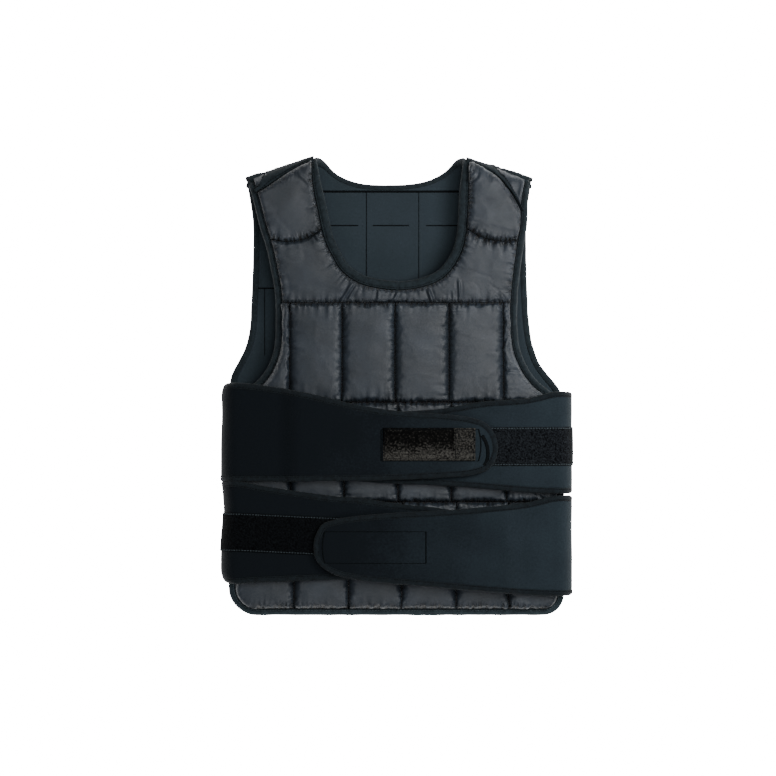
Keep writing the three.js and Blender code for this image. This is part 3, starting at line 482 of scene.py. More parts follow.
def raise_relief(tree, shader, height, depth, before=None):
    """Bump of a texture's value from 0 to 1, depth in millimetres high, over another bump if one is given."""
    sockets = {"Height": height, "Distance": depth / 1000, "Strength": 1.0}
    if before is not None:
        sockets["Normal"] = before
    bump = add_node(tree, "ShaderNodeBump", sockets)
    tree.links.new(bump.outputs["Normal"], shader.inputs["Normal"])
    return bump.outputs["Normal"]


def threads(tree, place, pitch, direction, **settings):
    """Bands a pitch in millimetres apart along X, Y or Z; a wave texture has a band every 0.314 / scale."""
    sockets = {"Vector": place, "Scale": 314.16 / pitch}
    return add_node(tree, "ShaderNodeTexWave", sockets, bands_direction=direction, **settings).outputs["Fac"]


def mottle(tree, place, size, detail=2.0):
    """Noise whose blotches are about this many millimetres wide."""
    sockets = {"Vector": place, "Scale": 1000 / size, "Detail": detail}
    return add_node(tree, "ShaderNodeTexNoise", sockets).outputs["Fac"]


def combine(tree, operation, first, second):
    """One number from two."""
    return add_node(tree, "ShaderNodeMath", {0: first, 1: second}, operation=operation).outputs[0]


def nylon_taffeta():
    """Woven nylon taffeta, calendered: a tight plain weave that shines softly on every fold. The threads are 0.2 mm
    apart, too fine to show, so they are drawn 0.9 mm apart. Where a seam gathers it, folds of 4.6 mm run in, raised as
    a bump whose hollows are also painted darker as painted shade."""
    finish, tree, shader = new_finish(
        "woven_nylon_taffeta", Roughness=0.5, IOR=1.5, Specular_IOR_Level=0.3, Sheen_Weight=0.03, Sheen_Roughness=0.4,
    )
    place = add_node(tree, "ShaderNodeTexCoord").outputs["Object"]
    blotches = combine(tree, "ADD", mottle(tree, place, 46), combine(tree, "MULTIPLY", mottle(tree, place, 3), 0.35))
    gathers = add_node(tree, "ShaderNodeAttribute", attribute_name="along").outputs["Vector"]
    parts = add_node(tree, "ShaderNodeSeparateXYZ", {"Vector": gathers}).outputs
    across = add_node(tree, "ShaderNodeCombineXYZ", {"X": parts["X"], "Y": combine(tree, "MULTIPLY", parts["Y"], 0.14)})
    folds = mottle(tree, across.outputs[0], 4.6, 1.0)
    fold_depth_and_shade = add_node(tree, "ShaderNodeMapRange", {"Value": folds, "From Min": 0.54, "From Max": 0.42}).outputs[0]
    fold_depth_and_shade = combine(tree, "MULTIPLY", fold_depth_and_shade, parts["Z"])
    colour = add_node(tree, "ShaderNodeValToRGB", {"Fac": blotches})
    for point, where, shown in zip(colour.color_ramp.elements, (0.45, 0.95), ("#10161C", "#192028")):
        point.position, point.color = where, linear(shown)
    # Painted shade: the base colour is darkened towards #030405 in the folds' hollows, by the same mask that sinks
    # their bump.
    dark = add_node(tree, "ShaderNodeMix", {"Factor": fold_depth_and_shade, "B": linear("#030405")}, data_type="RGBA", clamp_factor=True)
    tree.links.new(colour.outputs["Color"], dark.inputs["A"])
    tree.links.new(dark.outputs["Result"], shader.inputs["Base Color"])
    weave = combine(tree, "ADD", threads(tree, place, 0.9, "X"), threads(tree, place, 0.9, "Y"))
    fine = raise_relief(tree, shader, weave, 0.05)
    soft = raise_relief(tree, shader, mottle(tree, place, 9, 2.0), 0.16, fine)
    raise_relief(tree, shader, combine(tree, "SUBTRACT", 1.0, fold_depth_and_shade), 1.6, soft)
    return finish


def jersey_neoprene(name, dark, light, gloss=0.12, painted_light_drift=0.0):
    """Neoprene foam with a knitted polyester face glued on: dull, with a faint bloom. The knit's ribs are 0.6 mm apart,
    drawn 0.9 mm apart so that they show close up. Its colour is painted paler towards +X by drift in a metre of X,
    as painted light from the right."""
    finish, tree, shader = new_finish(
        name, Roughness=0.8, IOR=1.5, Specular_IOR_Level=gloss, Sheen_Weight=0.02, Sheen_Roughness=0.5,
    )
    place = add_node(tree, "ShaderNodeTexCoord").outputs["Object"]
    blotches = combine(tree, "MULTIPLY", combine(tree, "ADD", mottle(tree, place, 60), mottle(tree, place, 2)), 0.4)
    across = add_node(tree, "ShaderNodeSeparateXYZ", {"Vector": place}).outputs["X"]
    # Painted light: the colour grows paler towards +X by drift in a metre, as if lit more from the right.
    blotches_and_painted_light = combine(tree, "ADD", blotches, combine(tree, "MULTIPLY", across, painted_light_drift))
    shade(tree, shader, blotches_and_painted_light, dark, light, 0.1 + painted_light_drift / 9, 0.7 + painted_light_drift / 9)
    ribs = combine(tree, "MULTIPLY", threads(tree, place, 0.9, "X"), threads(tree, place, 1.2, "Y"))
    fine = raise_relief(tree, shader, ribs, 0.06)
    raise_relief(tree, shader, mottle(tree, place, 16, 2.0), 0.35, fine)
    return finish


def ribbed_tape(name, dark, light):
    """Knitted polyester binding tape: fine ribs along it 1.1 mm apart, dull and slightly fuzzy on its edges."""
    finish, tree, shader = new_finish(
        name, Roughness=0.88, IOR=1.5, Specular_IOR_Level=0.1, Sheen_Weight=0.03, Sheen_Roughness=0.5,
    )
    place = add_node(tree, "ShaderNodeTexCoord").outputs["Object"]
    along = add_node(tree, "ShaderNodeAttribute", attribute_name="along").outputs["Vector"]
    shade(tree, shader, mottle(tree, place, 5), dark, light)
    ribs = combine(tree, "MULTIPLY", threads(tree, along, 1.1, "Y"), threads(tree, along, 1.4, "X"))
    raise_relief(tree, shader, ribs, 0.12)
    return finish


def loop_pile(name, light):
    """Brushed nylon loop pile: thousands of soft loops about 0.5 mm wide, drawn 1.6 mm wide, that swallow the light."""
    finish, tree, shader = new_finish(
        name, Roughness=0.95, IOR=1.5, Specular_IOR_Level=0.02, Sheen_Weight=0.01, Sheen_Roughness=0.6,
    )
    place = add_node(tree, "ShaderNodeTexCoord").outputs["Object"]
    pile = mottle(tree, place, 1.6, 4.0)
    shade(tree, shader, pile, "#010102", light, 0.4, 0.62)
    raise_relief(tree, shader, pile, 0.9)
    return finish


def hook_strip():
    """Moulded nylon hook tape: stiff black hooks in rows 1.6 mm apart on a woven base."""
    finish, tree, shader = new_finish("moulded_nylon_hook", Roughness=0.6, IOR=1.53, Specular_IOR_Level=0.2)
    place = add_node(tree, "ShaderNodeTexCoord").outputs["Object"]
    shade(tree, shader, mottle(tree, place, 9), "#101214", "#1B1E21")
    hooks = combine(tree, "MULTIPLY", threads(tree, place, 1.6, "X"), threads(tree, place, 1.6, "Y"))
    raise_relief(tree, shader, hooks, 0.5)
    return finish


def black_satin():
    """Woven polyester satin, black, with grey floats that are painted paler as painted sheen at its foot and on its
    tab, as the Z of "along" says. The floats are 0.5 mm long, drawn 2.1 mm long."""
    finish, tree, shader = new_finish("woven_polyester_satin_painted_sheen", Roughness=0.6, IOR=1.5, Specular_IOR_Level=0.02)
    place = add_node(tree, "ShaderNodeTexCoord").outputs["Object"]
    painted_sheen = add_node(tree, "ShaderNodeAttribute", attribute_name="along").outputs["Vector"]
    share = add_node(tree, "ShaderNodeSeparateXYZ", {"Vector": painted_sheen}).outputs["Z"]
    floats = mottle(tree, place, 2.1, 3.0)
    # Painted sheen: the floats are painted paler by the Z of "along".
    shade(tree, shader, combine(tree, "ADD", floats, combine(tree, "MULTIPLY", share, 0.26)), "#010101", "#3B3A37", 0.56, 0.96)
    raise_relief(tree, shader, floats, 0.3)
    return finish


def spun_thread(name, dark, light):
    """Spun polyester sewing thread: round, twisted, slightly glossy."""
    finish, tree, shader = new_finish(name, Roughness=0.7, IOR=1.5, Specular_IOR_Level=0.04)
    place = add_node(tree, "ShaderNodeTexCoord").outputs["Object"]
    shade(tree, shader, mottle(tree, place, 1.5), dark, light)
    return finish


def opal_acrylic():
    """Pale opal acrylic table, lit evenly from below: it burns out to white for the camera, as in the photograph, and
    lights the vest's edges only a little."""
    finish, tree, shader = new_finish("matt_opal_acrylic", Roughness=0.9, IOR=1.49, Emission_Color=linear("#FFFFFF"))
    seen = add_node(tree, "ShaderNodeLightPath").outputs["Is Camera Ray"]
    glow = add_node(tree, "ShaderNodeMapRange", {"Value": seen, "To Min": 2.5, "To Max": 20.0}).outputs[0]
    tree.links.new(glow, shader.inputs["Emission Strength"])
    place = add_node(tree, "ShaderNodeTexCoord").outputs["Object"]
    shade(tree, shader, mottle(tree, place, 300), "#F4F4F4", "#F8F8F8")
    return finish


NYLON = nylon_taffeta()
# The wraps' neoprene is painted paler towards +X, as painted light from the right; the linings' is not.
NEOPRENE = jersey_neoprene("jersey_faced_neoprene_painted_light", "#070B0F", "#1C2429", 0.05, 1.8)
LINING = jersey_neoprene("jersey_lining_neoprene", "#161D21", "#20292F")
TAPE = ribbed_tape("knitted_polyester_tape", "#0F1518", "#181F23")
HEM_TAPE = ribbed_tape("pale_knitted_polyester_tape", "#192125", "#232C31")
WRAP_TAPE = ribbed_tape("dark_knitted_polyester_tape", "#070B0E", "#0D1317")
# The lower loop tape is the same pile painted darker: painted shade, as it lies towards the left, away from the light.
LOOP = {"upper": loop_pile("brushed_nylon_loop", "#181B1E"), "lower": loop_pile("brushed_nylon_loop_painted_shade", "#0A0C0E")}
HOOK = hook_strip()
SATIN = black_satin()
THREAD = spun_thread("spun_polyester_thread", "#010203", "#05080A")
EDGE_THREAD = spun_thread("pale_polyester_thread", "#3A4246", "#505A5F")
LOOP_THREAD = spun_thread("grey_polyester_thread", "#22272A", "#343B3F")


# Quilting: each cell is laid out flat as x, height and out, filled, and then bent round its panel.

FABRIC_STEP = 1.7
BACK_FABRIC_STEP = 2.6
SEAM_OUT = 7.5
SEAM_HALF = 0.14
FILL_ROUND = 5.5
FILL_DOME = 36
SLACK = 0.05
MOST_SWELL = 1.2
SWELL_FRAMES = 22
POCKET_FILL = 16.5
BACK_FILL = 18


def packed(length, pitch):
    """Shares from 0 to 1 in an even number of steps of about one pitch, a third shorter near both ends."""
    share = np.linspace(0, 1, 2 * max(2, round(length / pitch / 2)) + 1)
    return share - 0.055 * np.sin(2 * np.pi * share)


def along_line(line, shares):
    """Points at shares of a line's length."""
    reach = np.concatenate([[0], np.cumsum(np.linalg.norm(np.diff(line, axis=0), axis=1))])
    return np.stack([np.interp(shares * reach[-1], reach, line[:, k]) for k in (0, 1)], -1)


def part_of(panel, line, low, high):
    """The stretch of a line between two rows, which it crosses upwards."""
    rows = panel.row_of(line[:, 0], line[:, 1])
    ends = panel.row_at(line, np.array([low, high]))
    return np.vstack([ends[:1], line[(rows > low) & (rows < high)], ends[1:]])


def nearest(points, line):
    """Distance of each point from a line's nearest point, and how far along the line that is."""
    apart = np.hypot(*(points[..., None, k].astype(np.float32) - line[:, k].astype(np.float32) for k in (0, 1)))
    first = apart.argmin(-1)
    reach = np.concatenate([[0], np.cumsum(np.linalg.norm(np.diff(line, axis=0), axis=1))])
    return np.take_along_axis(apart, first[..., None], -1)[..., 0], reach[first]


def filled(distance, peak):
    """Height of a filled pocket at a distance from its seam: most of it rises as a quarter ellipse, the rest domes
    slowly."""
    steep = np.sqrt(1 - (1 - np.clip(distance / FILL_ROUND, 0, 1)) ** 2.4)
    dome = np.sin(np.pi / 2 * np.clip(distance / FILL_DOME, 0, 1))
    return SEAM_OUT + (peak - SEAM_OUT) * (0.8 * steep + 0.2 * dome)


def creased(place, creases):
    """Depth of sewn tucks: each runs between two points and sinks as exp(-(d / width)²), fading to its ends."""
    depth = np.zeros(place.shape[:-1])
    for x0, y0, x1, y1, width, deep in creases:
        start, along = np.array([x0, y0]), np.array([x1 - x0, y1 - y0])
        share = ((place - start) @ along) / (along @ along)
        apart = np.linalg.norm(place - start - np.clip(share, 0, 1)[..., None] * along, axis=-1)
        fade = np.clip(1.15 - np.abs(2 * np.clip(share, 0, 1) - 1) ** 3, 0, 1)
        depth += deep * fade * (np.exp(-((apart / width) ** 2)) - 0.45 * np.exp(-(((apart - 2.2 * width) / width) ** 2)))
    return depth


class Cell:
    """One filled cell: its grid of places on the panel, how full it is, and how strongly its seams pucker."""

    def __init__(self, panel, x, height, peak, pucker, limit=POCKET_HEIGHT, crumple=1.0):
        self.panel, self.pucker, self.limit, self.crumple = panel, pucker, limit, crumple
        self.place = np.stack(np.broadcast_arrays(x, height), -1)
        place = self.place
        self.sides = [place[:, 0], place[:, -1], place[0], place[-1]]
        self.reach = [nearest(place, side) for side in self.sides]
        distance = np.minimum.reduce([reach for reach, spot in self.reach])
        self.seed = int(np.abs(place[0, 0]).sum() * 7) % 97
        self.flat = np.concatenate([place, filled(distance, peak)[..., None]], -1)

    def puckered(self, flat, creases):
        """Pinched folds that run in from each seam: |noise| along the seam over 6 mm, times (d / 3) e^(1 - d / 3);
        broad hollows of 22 mm and soft creases where it slackens; and the named creases, all along the surface's normal."""
        across, up = np.gradient(flat, axis=1), np.gradient(flat, axis=0)
        normal = np.cross(across, up)
        normal /= np.linalg.norm(normal, axis=-1)[..., None]
        rise = np.zeros(flat.shape[:2])
        for side, ((distance, along), strength) in enumerate(zip(self.reach, self.pucker)):
            row = 0 * along + self.seed + 10 * side
            pinch = np.abs(uneven(along / 6.3, row, 3) + 0.4 * uneven(along / 3.4, row, 8))
            length = 3.4 + 1.8 * uneven(along / 17, row, 5)
            share = distance / np.maximum(length, 1.8)
            rise += 1.25 * strength * (1.8 * pinch - 0.75) * share * np.exp(1 - share)
        inner = step(np.minimum.reduce([distance for distance, spot in self.reach]), 0, 12)
        x, y = self.place[..., 0], self.place[..., 1]
        bend = 0.6 * uneven(x / 30, y / 30, 13)
        crease = (1 - np.abs(uneven(x / 31 + bend, y / 17 + 0.5 * x / 31, 14))) ** 5
        hollows = 0.6 * uneven(x / 23, y / 19, 11) + 0.14 * uneven(x / 9, y / 8, 12)
        rise += self.crumple * inner * (0.8 * hollows + 0.3 * crease - 0.15)
        rise -= creased(self.place, creases) * step(np.minimum.reduce([d for d, s in self.reach]), 0, 3)
        return flat + normal * rise[..., None]

    def gathers(self):
        """For the finish, of the seam that gathers a point most: place along it, distance, and 1000 × strength × e^-(d
        / l)², where the length l varies along the seam and is shorter where the gathers are weak. The finish sinks its
        bump by that strength and darkens its colour by it as painted shade."""
        pulls, places = [], []
        for side, ((distance, along), strength) in enumerate(zip(self.reach, self.pucker)):
            length = mix(0.25, 1, strength) * (4.2 + 2.2 * uneven(along / 11, 0 * along + self.seed + 10 * side, 6))
            pulls.append(strength * np.exp(-((distance / length) ** 2)))
            places.append(np.stack([along + 400 * side + 37 * self.seed, distance, 1000 * pulls[-1]], -1))
        most = np.argmax(pulls, axis=0)
        found = np.take_along_axis(np.array(places), most[None, ..., None], 0)[0]
        under = np.zeros(((found.shape[0] - 2) * (found.shape[1] - 2), 3))
        return np.vstack([found.reshape(-1, 3), under])

    def skin(self, swelling, creases):
        """Closed pillow: the puckered top kept inside the cell, over a flat underside, both bent round the panel."""
        flat = self.puckered(self.flat + swelling, creases)
        inside = flat[1:-1, 1:-1]
        inside[..., 2] = np.maximum(inside[..., 2], QUILT_GAP + 0.4)
        over = np.maximum(0, inside[..., 2] - self.limit + 1)
        inside[..., 2] -= over - (1 - np.exp(-over))
        top = self.panel.surface(*np.moveaxis(flat, -1, 0))
        under = self.panel.surface(self.place[..., 0], self.place[..., 1], QUILT_GAP)
        return pillow(top, under)


def column_sides(panel, columns, column, y):
    """Left and right of a column of cells: its seams, or the panel's edge where that comes first."""
    found = []
    for side, share in ((-1, columns[column]), (1, columns[column + 1])):
        line = panel.side_line(side, -FABRIC_INSET)
        edge = np.interp(y, line[:, 1], line[:, 0])
        seam = share * HALF_WIDTH - side * SEAM_HALF if abs(share) < 1 else share * 2 * HALF_WIDTH
        found.append(edge if abs(share) == 1 else np.where(side * seam < side * edge, seam, edge))
    left, right = found
    other = [panel.side_line(side, -FABRIC_INSET) for side in (1, -1)]
    left = np.minimum(left, np.interp(y, other[0][:, 1], other[0][:, 0]) - 1)
    right = np.maximum(right, np.interp(y, other[1][:, 1], other[1][:, 0]) + 1)
    return left, right


def column_cell(panel, columns, column, low, high, pitch, peak, pucker):
    """Cell of a column between two heights, with straight sides or the armhole's."""
    y = mix(low, high, packed(high - low, pitch))
    left, right = column_sides(panel, columns, column, y)
    across = packed((right - left).max(), pitch)
    return Cell(panel, mix(left[:, None], right[:, None], across), y[:, None], peak, pucker)


def strap_cell(panel, side, low, high, width, pitch, pucker, middle_gap=0.0, limit=SHOULDER_HEIGHT + 2):
    """Cell of one shoulder between two rows, each a function of the share across from the neck to the arm."""
    across = packed(width, pitch)
    length = (panel.seam(STRAP_MIDDLE) - panel.row_start) * (high(0.5) - low(0.5))
    row = mix(low(across), high(across), packed(length, pitch)[:, None])
    start = panel.neck_x(side, FABRIC_INSET, row, middle_gap)
    x = mix(start, panel.edge_x(side, FABRIC_INSET, row), across)
    return Cell(panel, x, panel.height_of(x, row), SHOULDER_HEIGHT, pucker, limit, 1.5)


def pad_foot(side, across):
    """Row of the seam under a front shoulder pad: it sags as 1 - (2a - 1)² between its ends."""
    return (PAD_SEAM_LEFT if side < 0 else PAD_SEAM_RIGHT) - PAD_SAG * (1 - (2 * across - 1) ** 2)


def pad_top(side, across):
    """Row of the seam over a front shoulder pad: it leans down to the arm on the left, and on the right it is rounded
    down as a⁴."""
    return TAPE_ROW - (0.2 * across**4 if side > 0 else 0.055 * across**1.4)


def tape_top(side, across):
    """Row where the shoulder's seam tape ends, past the fold; towards the arm it narrows to follow the pad."""
    leaves = step(across, 0.25, 0.6) if side > 0 else step(across, 0.68, 0.95)
    return mix(FOLD_ROW + 0 * across, pad_top(side, across) + 6.5 / 170, leaves)


def yoke_cell():
    """U-shaped cell between the neck, the two armholes, the pads and the first row: straight lines join the neck's edge
    to the outer one, and the ends bend to the pads' feet."""
    gap = SEAM_HALF / 150
    foot = FRONT.row_start + SEAM_HALF
    halves, sides, ends = [], [], []
    for side in (-1, 1):
        neck, edge = FRONT.neck_line(side, FABRIC_INSET), FRONT.side_line(side, -FABRIC_INSET)
        top = pad_foot(side, 0) - gap
        below = FRONT.row_of(neck[:, 0], neck[:, 1]) < top
        halves.append(np.vstack([neck[below], FRONT.row_at(neck, np.array([top]))]))
        sides.append(part_of(FRONT, edge, gap, top))
        across = packed(70, FABRIC_STEP)
        row = pad_foot(side, across) - gap
        x = mix(FRONT.neck_x(side, FABRIC_INSET, row), FRONT.edge_x(side, FABRIC_INSET, row), across)
        ends.append(np.stack([x, FRONT.height_of(x, row)], -1))
    inner = np.vstack([halves[0][::-1], halves[1][1:]])
    outer = np.vstack([sides[0][::-1], [[sides[0][0, 0], foot], [sides[1][0, 0], foot]], sides[1]])
    along = packed(490, FABRIC_STEP)
    inner, outer = along_line(inner, along), along_line(outer, along)
    across = packed(70, FABRIC_STEP)[:, None, None]
    straight = mix(inner[None], outer[None], across)
    pull = [end[:, None] - mix(end[0], end[-1], across) for end in ends]
    share = np.linspace(0, 1, len(along))[None, :, None]
    place = straight + pull[0] * np.exp(-share * 14) + pull[1] * np.exp(-(1 - share) * 14)
    return Cell(FRONT, place[..., 0], place[..., 1], SHOULDER_HEIGHT, (0.5, 1.1, 0.8, 0.8), SHOULDER_HEIGHT + 2, 1.5)


def front_cells():
    """Cells of the front by node, top row first."""
    found = {}
    for row, columns in enumerate(FRONT_COLUMNS):
        low = LOWER_SEAMS[2 - row] * BODY_LENGTH + (FABRIC_INSET if row == 2 else SEAM_HALF)
        high = LOWER_SEAMS[3 - row] * BODY_LENGTH - SEAM_HALF
        for column in range(6):
            gathers = (0.45, 0.45, 1.3 if row == 2 else 0.95, 0.95)
            cell = column_cell(FRONT, columns, column, low, high, FABRIC_STEP, POCKET_FILL, gathers)
            found[f"pocket_row{row + 1}_{column + 1}"] = [cell]
    gap = SEAM_HALF / 150
    found["front_yoke"] = [yoke_cell()]
    for side, name in ((-1, "left"), (1, "right")):
        pad = strap_cell(
            FRONT, side, lambda a: pad_foot(side, a) + gap, lambda a: pad_top(side, a) - gap, 66, FABRIC_STEP,
            (0.9, 0.6, 1.2, 0.7),
        )
        found[f"shoulder_pad_{name}"] = [pad]
        across = mix(0.5 if side > 0 else 0.78, 1, packed(30, FABRIC_STEP))
        row = mix(np.minimum(tape_top(side, across) + gap, 0.97), 0.992, packed(24, FABRIC_STEP)[:, None])
        x = mix(FRONT.neck_x(side, FABRIC_INSET, row), FRONT.edge_x(side, FABRIC_INSET, row), across)
        rest = Cell(FRONT, x, FRONT.height_of(x, row), 8.5, (0.1, 0.1, 0.1, 0.1), SHOULDER_HEIGHT, 0.1)
        found[f"shoulder_pad_{name}"].append(rest)
    return found


def back_cells():
    """Cells of the back by node: seven sewn channels up to the yoke or the armholes, the yoke, and the shoulders."""
    found = {}
    for column in range(7):
        seams = [*BACK_SEAMS[:3], BACK_SIDE_TOP] if column in (0, 6) else BACK_SEAMS
        found[f"back_channel_{column + 1}"] = [
            column_cell(
                BACK, BACK_COLUMNS, column, seams[row] * BODY_LENGTH + (SEAM_HALF if row else FABRIC_INSET),
                seams[row + 1] * BODY_LENGTH - SEAM_HALF, BACK_FABRIC_STEP, BACK_FILL, (0.4, 0.4, 0.7, 0.7),
            )
            for row in range(len(seams) - 1)
        ]
    gap = SEAM_HALF / 100
    across = packed(340, BACK_FABRIC_STEP)
    row = mix(gap, BACK_YOKE_TOP - gap, packed(36, BACK_FABRIC_STEP))[:, None]
    x = mix(BACK.edge_x(-1, FABRIC_INSET, row), BACK.edge_x(1, FABRIC_INSET, row), across)
    found["back_yoke"] = [Cell(BACK, x, BACK.height_of(x, row), SHOULDER_HEIGHT, (0.6, 0.6, 0.8, 0.8))]
    for side, name in ((-1, "left"), (1, "right")):
        fold = strap_cell(
            BACK, side, lambda a: BACK_YOKE_TOP + gap + 0 * a,
            lambda a: 0.915 - 0.05 * step(a, 0.5, 1), 120, BACK_FABRIC_STEP,
            (0.6, 0.6, 0.8, 0.8), SEAM_HALF,
        )
        found[f"back_shoulder_{name}"] = [fold]
    return found


def swellings(cells_to_fill):
    """How far the fabric of each cell moves when it is let go longer than its opening, held along its seams, and
    pushed from inside: one cloth simulation of every cell at half its grid, ten times life size, and then capped as
    most * tanh(move / most). Points between take the mean of their neighbours."""
    coarse = [cell.flat[::2, ::2] for cell in cells_to_fill]
    firsts = np.cumsum([0] + [grid.shape[0] * grid.shape[1] for grid in coarse])
    ids = [np.arange(first, last).reshape(grid.shape[:2]) for first, last, grid in zip(firsts, firsts[1:], coarse)]
    points = np.vstack([grid.reshape(-1, 3) for grid in coarse]) / 100
    mesh = bpy.data.meshes.new("fabric")
    mesh.from_pydata(points.tolist(), [], np.vstack([cells(grid) for grid in ids]).tolist())
    fabric = bpy.data.objects.new("fabric", mesh)
    bpy.context.scene.collection.objects.link(fabric)
    sewn = fabric.vertex_groups.new(name="sewn")
    sewn.add(np.concatenate([rim(grid) for grid in ids]).tolist(), 1.0, "REPLACE")
    cloth = fabric.modifiers.new("fill", "CLOTH")
    cloth.point_cache.frame_start, cloth.point_cache.frame_end = 1, SWELL_FRAMES
    settings = cloth.settings
    settings.quality = 4
    settings.mass = 0.02
    settings.tension_stiffness = settings.compression_stiffness = 12
    settings.shear_stiffness = 4
    settings.bending_stiffness = 0.02
    settings.air_damping = 2
    settings.vertex_group_mass = "sewn"
    settings.shrink_min = -SLACK
    settings.use_pressure = True
    settings.uniform_pressure_force = 3
    settings.effector_weights.gravity = 0
    cloth.collision_settings.use_collision = False
    cloth.collision_settings.use_self_collision = False
    for number in range(1, SWELL_FRAMES + 1):
        bpy.context.scene.frame_set(number)
    settled = fabric.evaluated_get(bpy.context.evaluated_depsgraph_get()).to_mesh()
    moved = np.empty(len(points) * 3, np.float32)
    settled.vertices.foreach_get("co", moved)
    bpy.data.objects.remove(fabric)
    bpy.data.meshes.remove(mesh)
    bpy.context.scene.frame_set(1)
    move = (moved.reshape(-1, 3) - points) * 100
    length = np.linalg.norm(move, axis=1, keepdims=True) + 1e-9
    move *= MOST_SWELL * np.tanh(length / MOST_SWELL) / length
    found = []
    for grid in ids:
        fine = np.zeros((2 * grid.shape[0] - 1, 2 * grid.shape[1] - 1, 3))
        fine[::2, ::2] = move[grid]
        fine[1::2, ::2] = (fine[:-2:2, ::2] + fine[2::2, ::2]) / 2
        fine[:, 1::2] = (fine[:, :-2:2] + fine[:, 2::2]) / 2
        found.append(fine)
    return found


# Tucks and creases that show in the fabric: from x, height to x, height, with half width and depth.
CREASES = [
    (-56.6, 424, -73.5, 396.6, 1.6, 2.6),
    (-52, 420, -65, 398, 1.3, 1.6),
    (-22.8, 415, -24.1, 398, 1.4, 2.0),
    (3.3, 414, -4.6, 399, 1.4, 2.2),
    (41, 416, 47.5, 398, 1.8, 3.2),
    (81.3, 428, 82.6, 398, 1.4, 2.4),
    (73.5, 414, 74, 398, 1.1, 1.4),
    (-151.5, 342, -121, 336, 1.5, 1.6),
    (139, 311, 162, 310, 1.4, 1.6),
    (178, 155, 191, 142, 1.8, 2.2),
    (-106, 487, -100, 479, 1.6, 2.4),
    (-128, 566, -112, 553, 1.8, 2.4),
    (109, 565, 94, 552, 1.8, 1.6),
    (147, 477, 153, 474, 1.4, 1.8),
    (-118, 520, -100, 516, 1.4, 1.4),
    (-122, 545, -104, 541, 1.4, 1.2),
]


def quilting():
    """Fills all cells together and makes one padded piece of each node's."""
    cells_by_node = {**front_cells(), **back_cells()}
    flat_list = [cell for group in cells_by_node.values() for cell in group]
    swelling = dict(zip(map(id, flat_list), swellings(flat_list)))
    for node, group in cells_by_node.items():
        creases = CREASES if group[0].panel is FRONT else []
        skins = [cell.skin(swelling[id(cell)], creases) for cell in group]
        # The Z of each point's gathers sets how deep the finish sinks the folds' bump and how dark it paints their
        # shade.
        gathers = np.vstack([cell.gathers() for cell in group])
        piece = new_piece(f"fabric_{node}", skins, NYLON, "quilt", node, along=gathers)


# Sewing thread

STITCH_PITCH = 3.6
STITCH_LENGTH = 2.7
STITCH_RADIUS = 0.42


def stitches(path, up, pitch=STITCH_PITCH, radius=STITCH_RADIUS):
    """A row of stitches along a path of points: each is a six-sided bead whose ends dip into the cloth by its radius."""
    reach = np.concatenate([[0], np.cumsum(np.linalg.norm(np.diff(path, axis=0), axis=1))])
    count = max(2, int(reach[-1] / pitch))
    at = (np.arange(count) + 0.5) * reach[-1] / count
    middle = np.stack([np.interp(at, reach, path[:, k]) for k in range(3)], -1)
    ahead = np.stack([np.interp(at + 0.5, reach, path[:, k]) for k in range(3)], -1)
    behind = np.stack([np.interp(at - 0.5, reach, path[:, k]) for k in range(3)], -1)
    along = ahead - behind
    along /= np.linalg.norm(along, axis=1, keepdims=True)
    rise = np.stack([np.interp(at, reach, up[:, k]) for k in range(3)], -1)
    rise -= along * np.sum(rise * along, axis=1, keepdims=True)
    rise /= np.linalg.norm(rise, axis=1, keepdims=True)
    aside = np.cross(along, rise)
    turn = np.arange(6) / 6 * 2 * np.pi
    places, widths, dips = np.array([-0.5, -0.36, 0.36, 0.5]), np.array([0.3, 1, 1, 0.3]), np.array([1, 0, 0, 1])
    length = pitch * STITCH_LENGTH / STITCH_PITCH
    rings = (
        middle[:, None, None]
        + along[:, None, None] * (places * length)[None, :, None, None]
        + aside[:, None, None] * (radius * widths[:, None] * np.cos(turn))[None, :, :, None]
        + rise[:, None, None] * (radius * (widths[:, None] * np.sin(turn) - 0.8 * dips[:, None]))[None, :, :, None]
    )
    faces = swept(np.zeros((4, 6, 3)), False)[1]
    offsets = (np.arange(count) * 24)[:, None, None]
    return rings.reshape(-1, 3), (faces[None] + offsets).reshape(-1, 4)


def surface_up(surface, x, y, out):
    """Direction in which a surface rises: from its point at out to the one 1 mm further out."""
    up = surface(x, y, out + 1) - surface(x, y, out)
    return up / np.linalg.norm(up, axis=-1, keepdims=True)


def stitched(surface, line, out, radius=STITCH_RADIUS):
    """Stitches along a line of places on a surface."""
    line = along_line(line, spaced(np.linalg.norm(np.diff(line, axis=0), axis=1).sum(), 1.5))
    x, y = line[:, 0], line[:, 1]
    return stitches(surface(x, y, out), surface_up(surface, x, y, out), radius=radius)


def sewn_line(surface, line, out, half_width, half_height):
    """Line of close stitches, a bound slit, or a dark strip laid as painted shadow: an ellipse of six corners carried
    along a line of places.
    """
    line = np.array(line, float)
    line = along_line(line, spaced(np.linalg.norm(np.diff(line, axis=0), axis=1).sum(), 2))
    turn = np.arange(6) / 6 * 2 * np.pi
    place = line[:, None] + right_of(line)[:, None] * (half_width * np.cos(turn))[None, :, None]
    rings = surface(place[..., 0], place[..., 1], out + half_height * np.sin(turn)[None])
    return swept(rings, False)


# Bindings: knitted tape folded over an edge, with its section given as shares of its width and height

TAPE_SECTION = np.array([
    [0.0, 0.1], [0.0, 0.88], [0.05, 0.97], [0.13, 0.98], [0.2, 0.88], [0.27, 0.98], [0.42, 1.02], [0.6, 1.0],
    [0.78, 0.93], [0.91, 0.8], [0.99, 0.6], [0.99, 0.4], [0.91, 0.2], [0.78, 0.07], [0.6, 0.0], [0.42, -0.02],
    [0.2, 0.0], [0.05, 0.02],
])


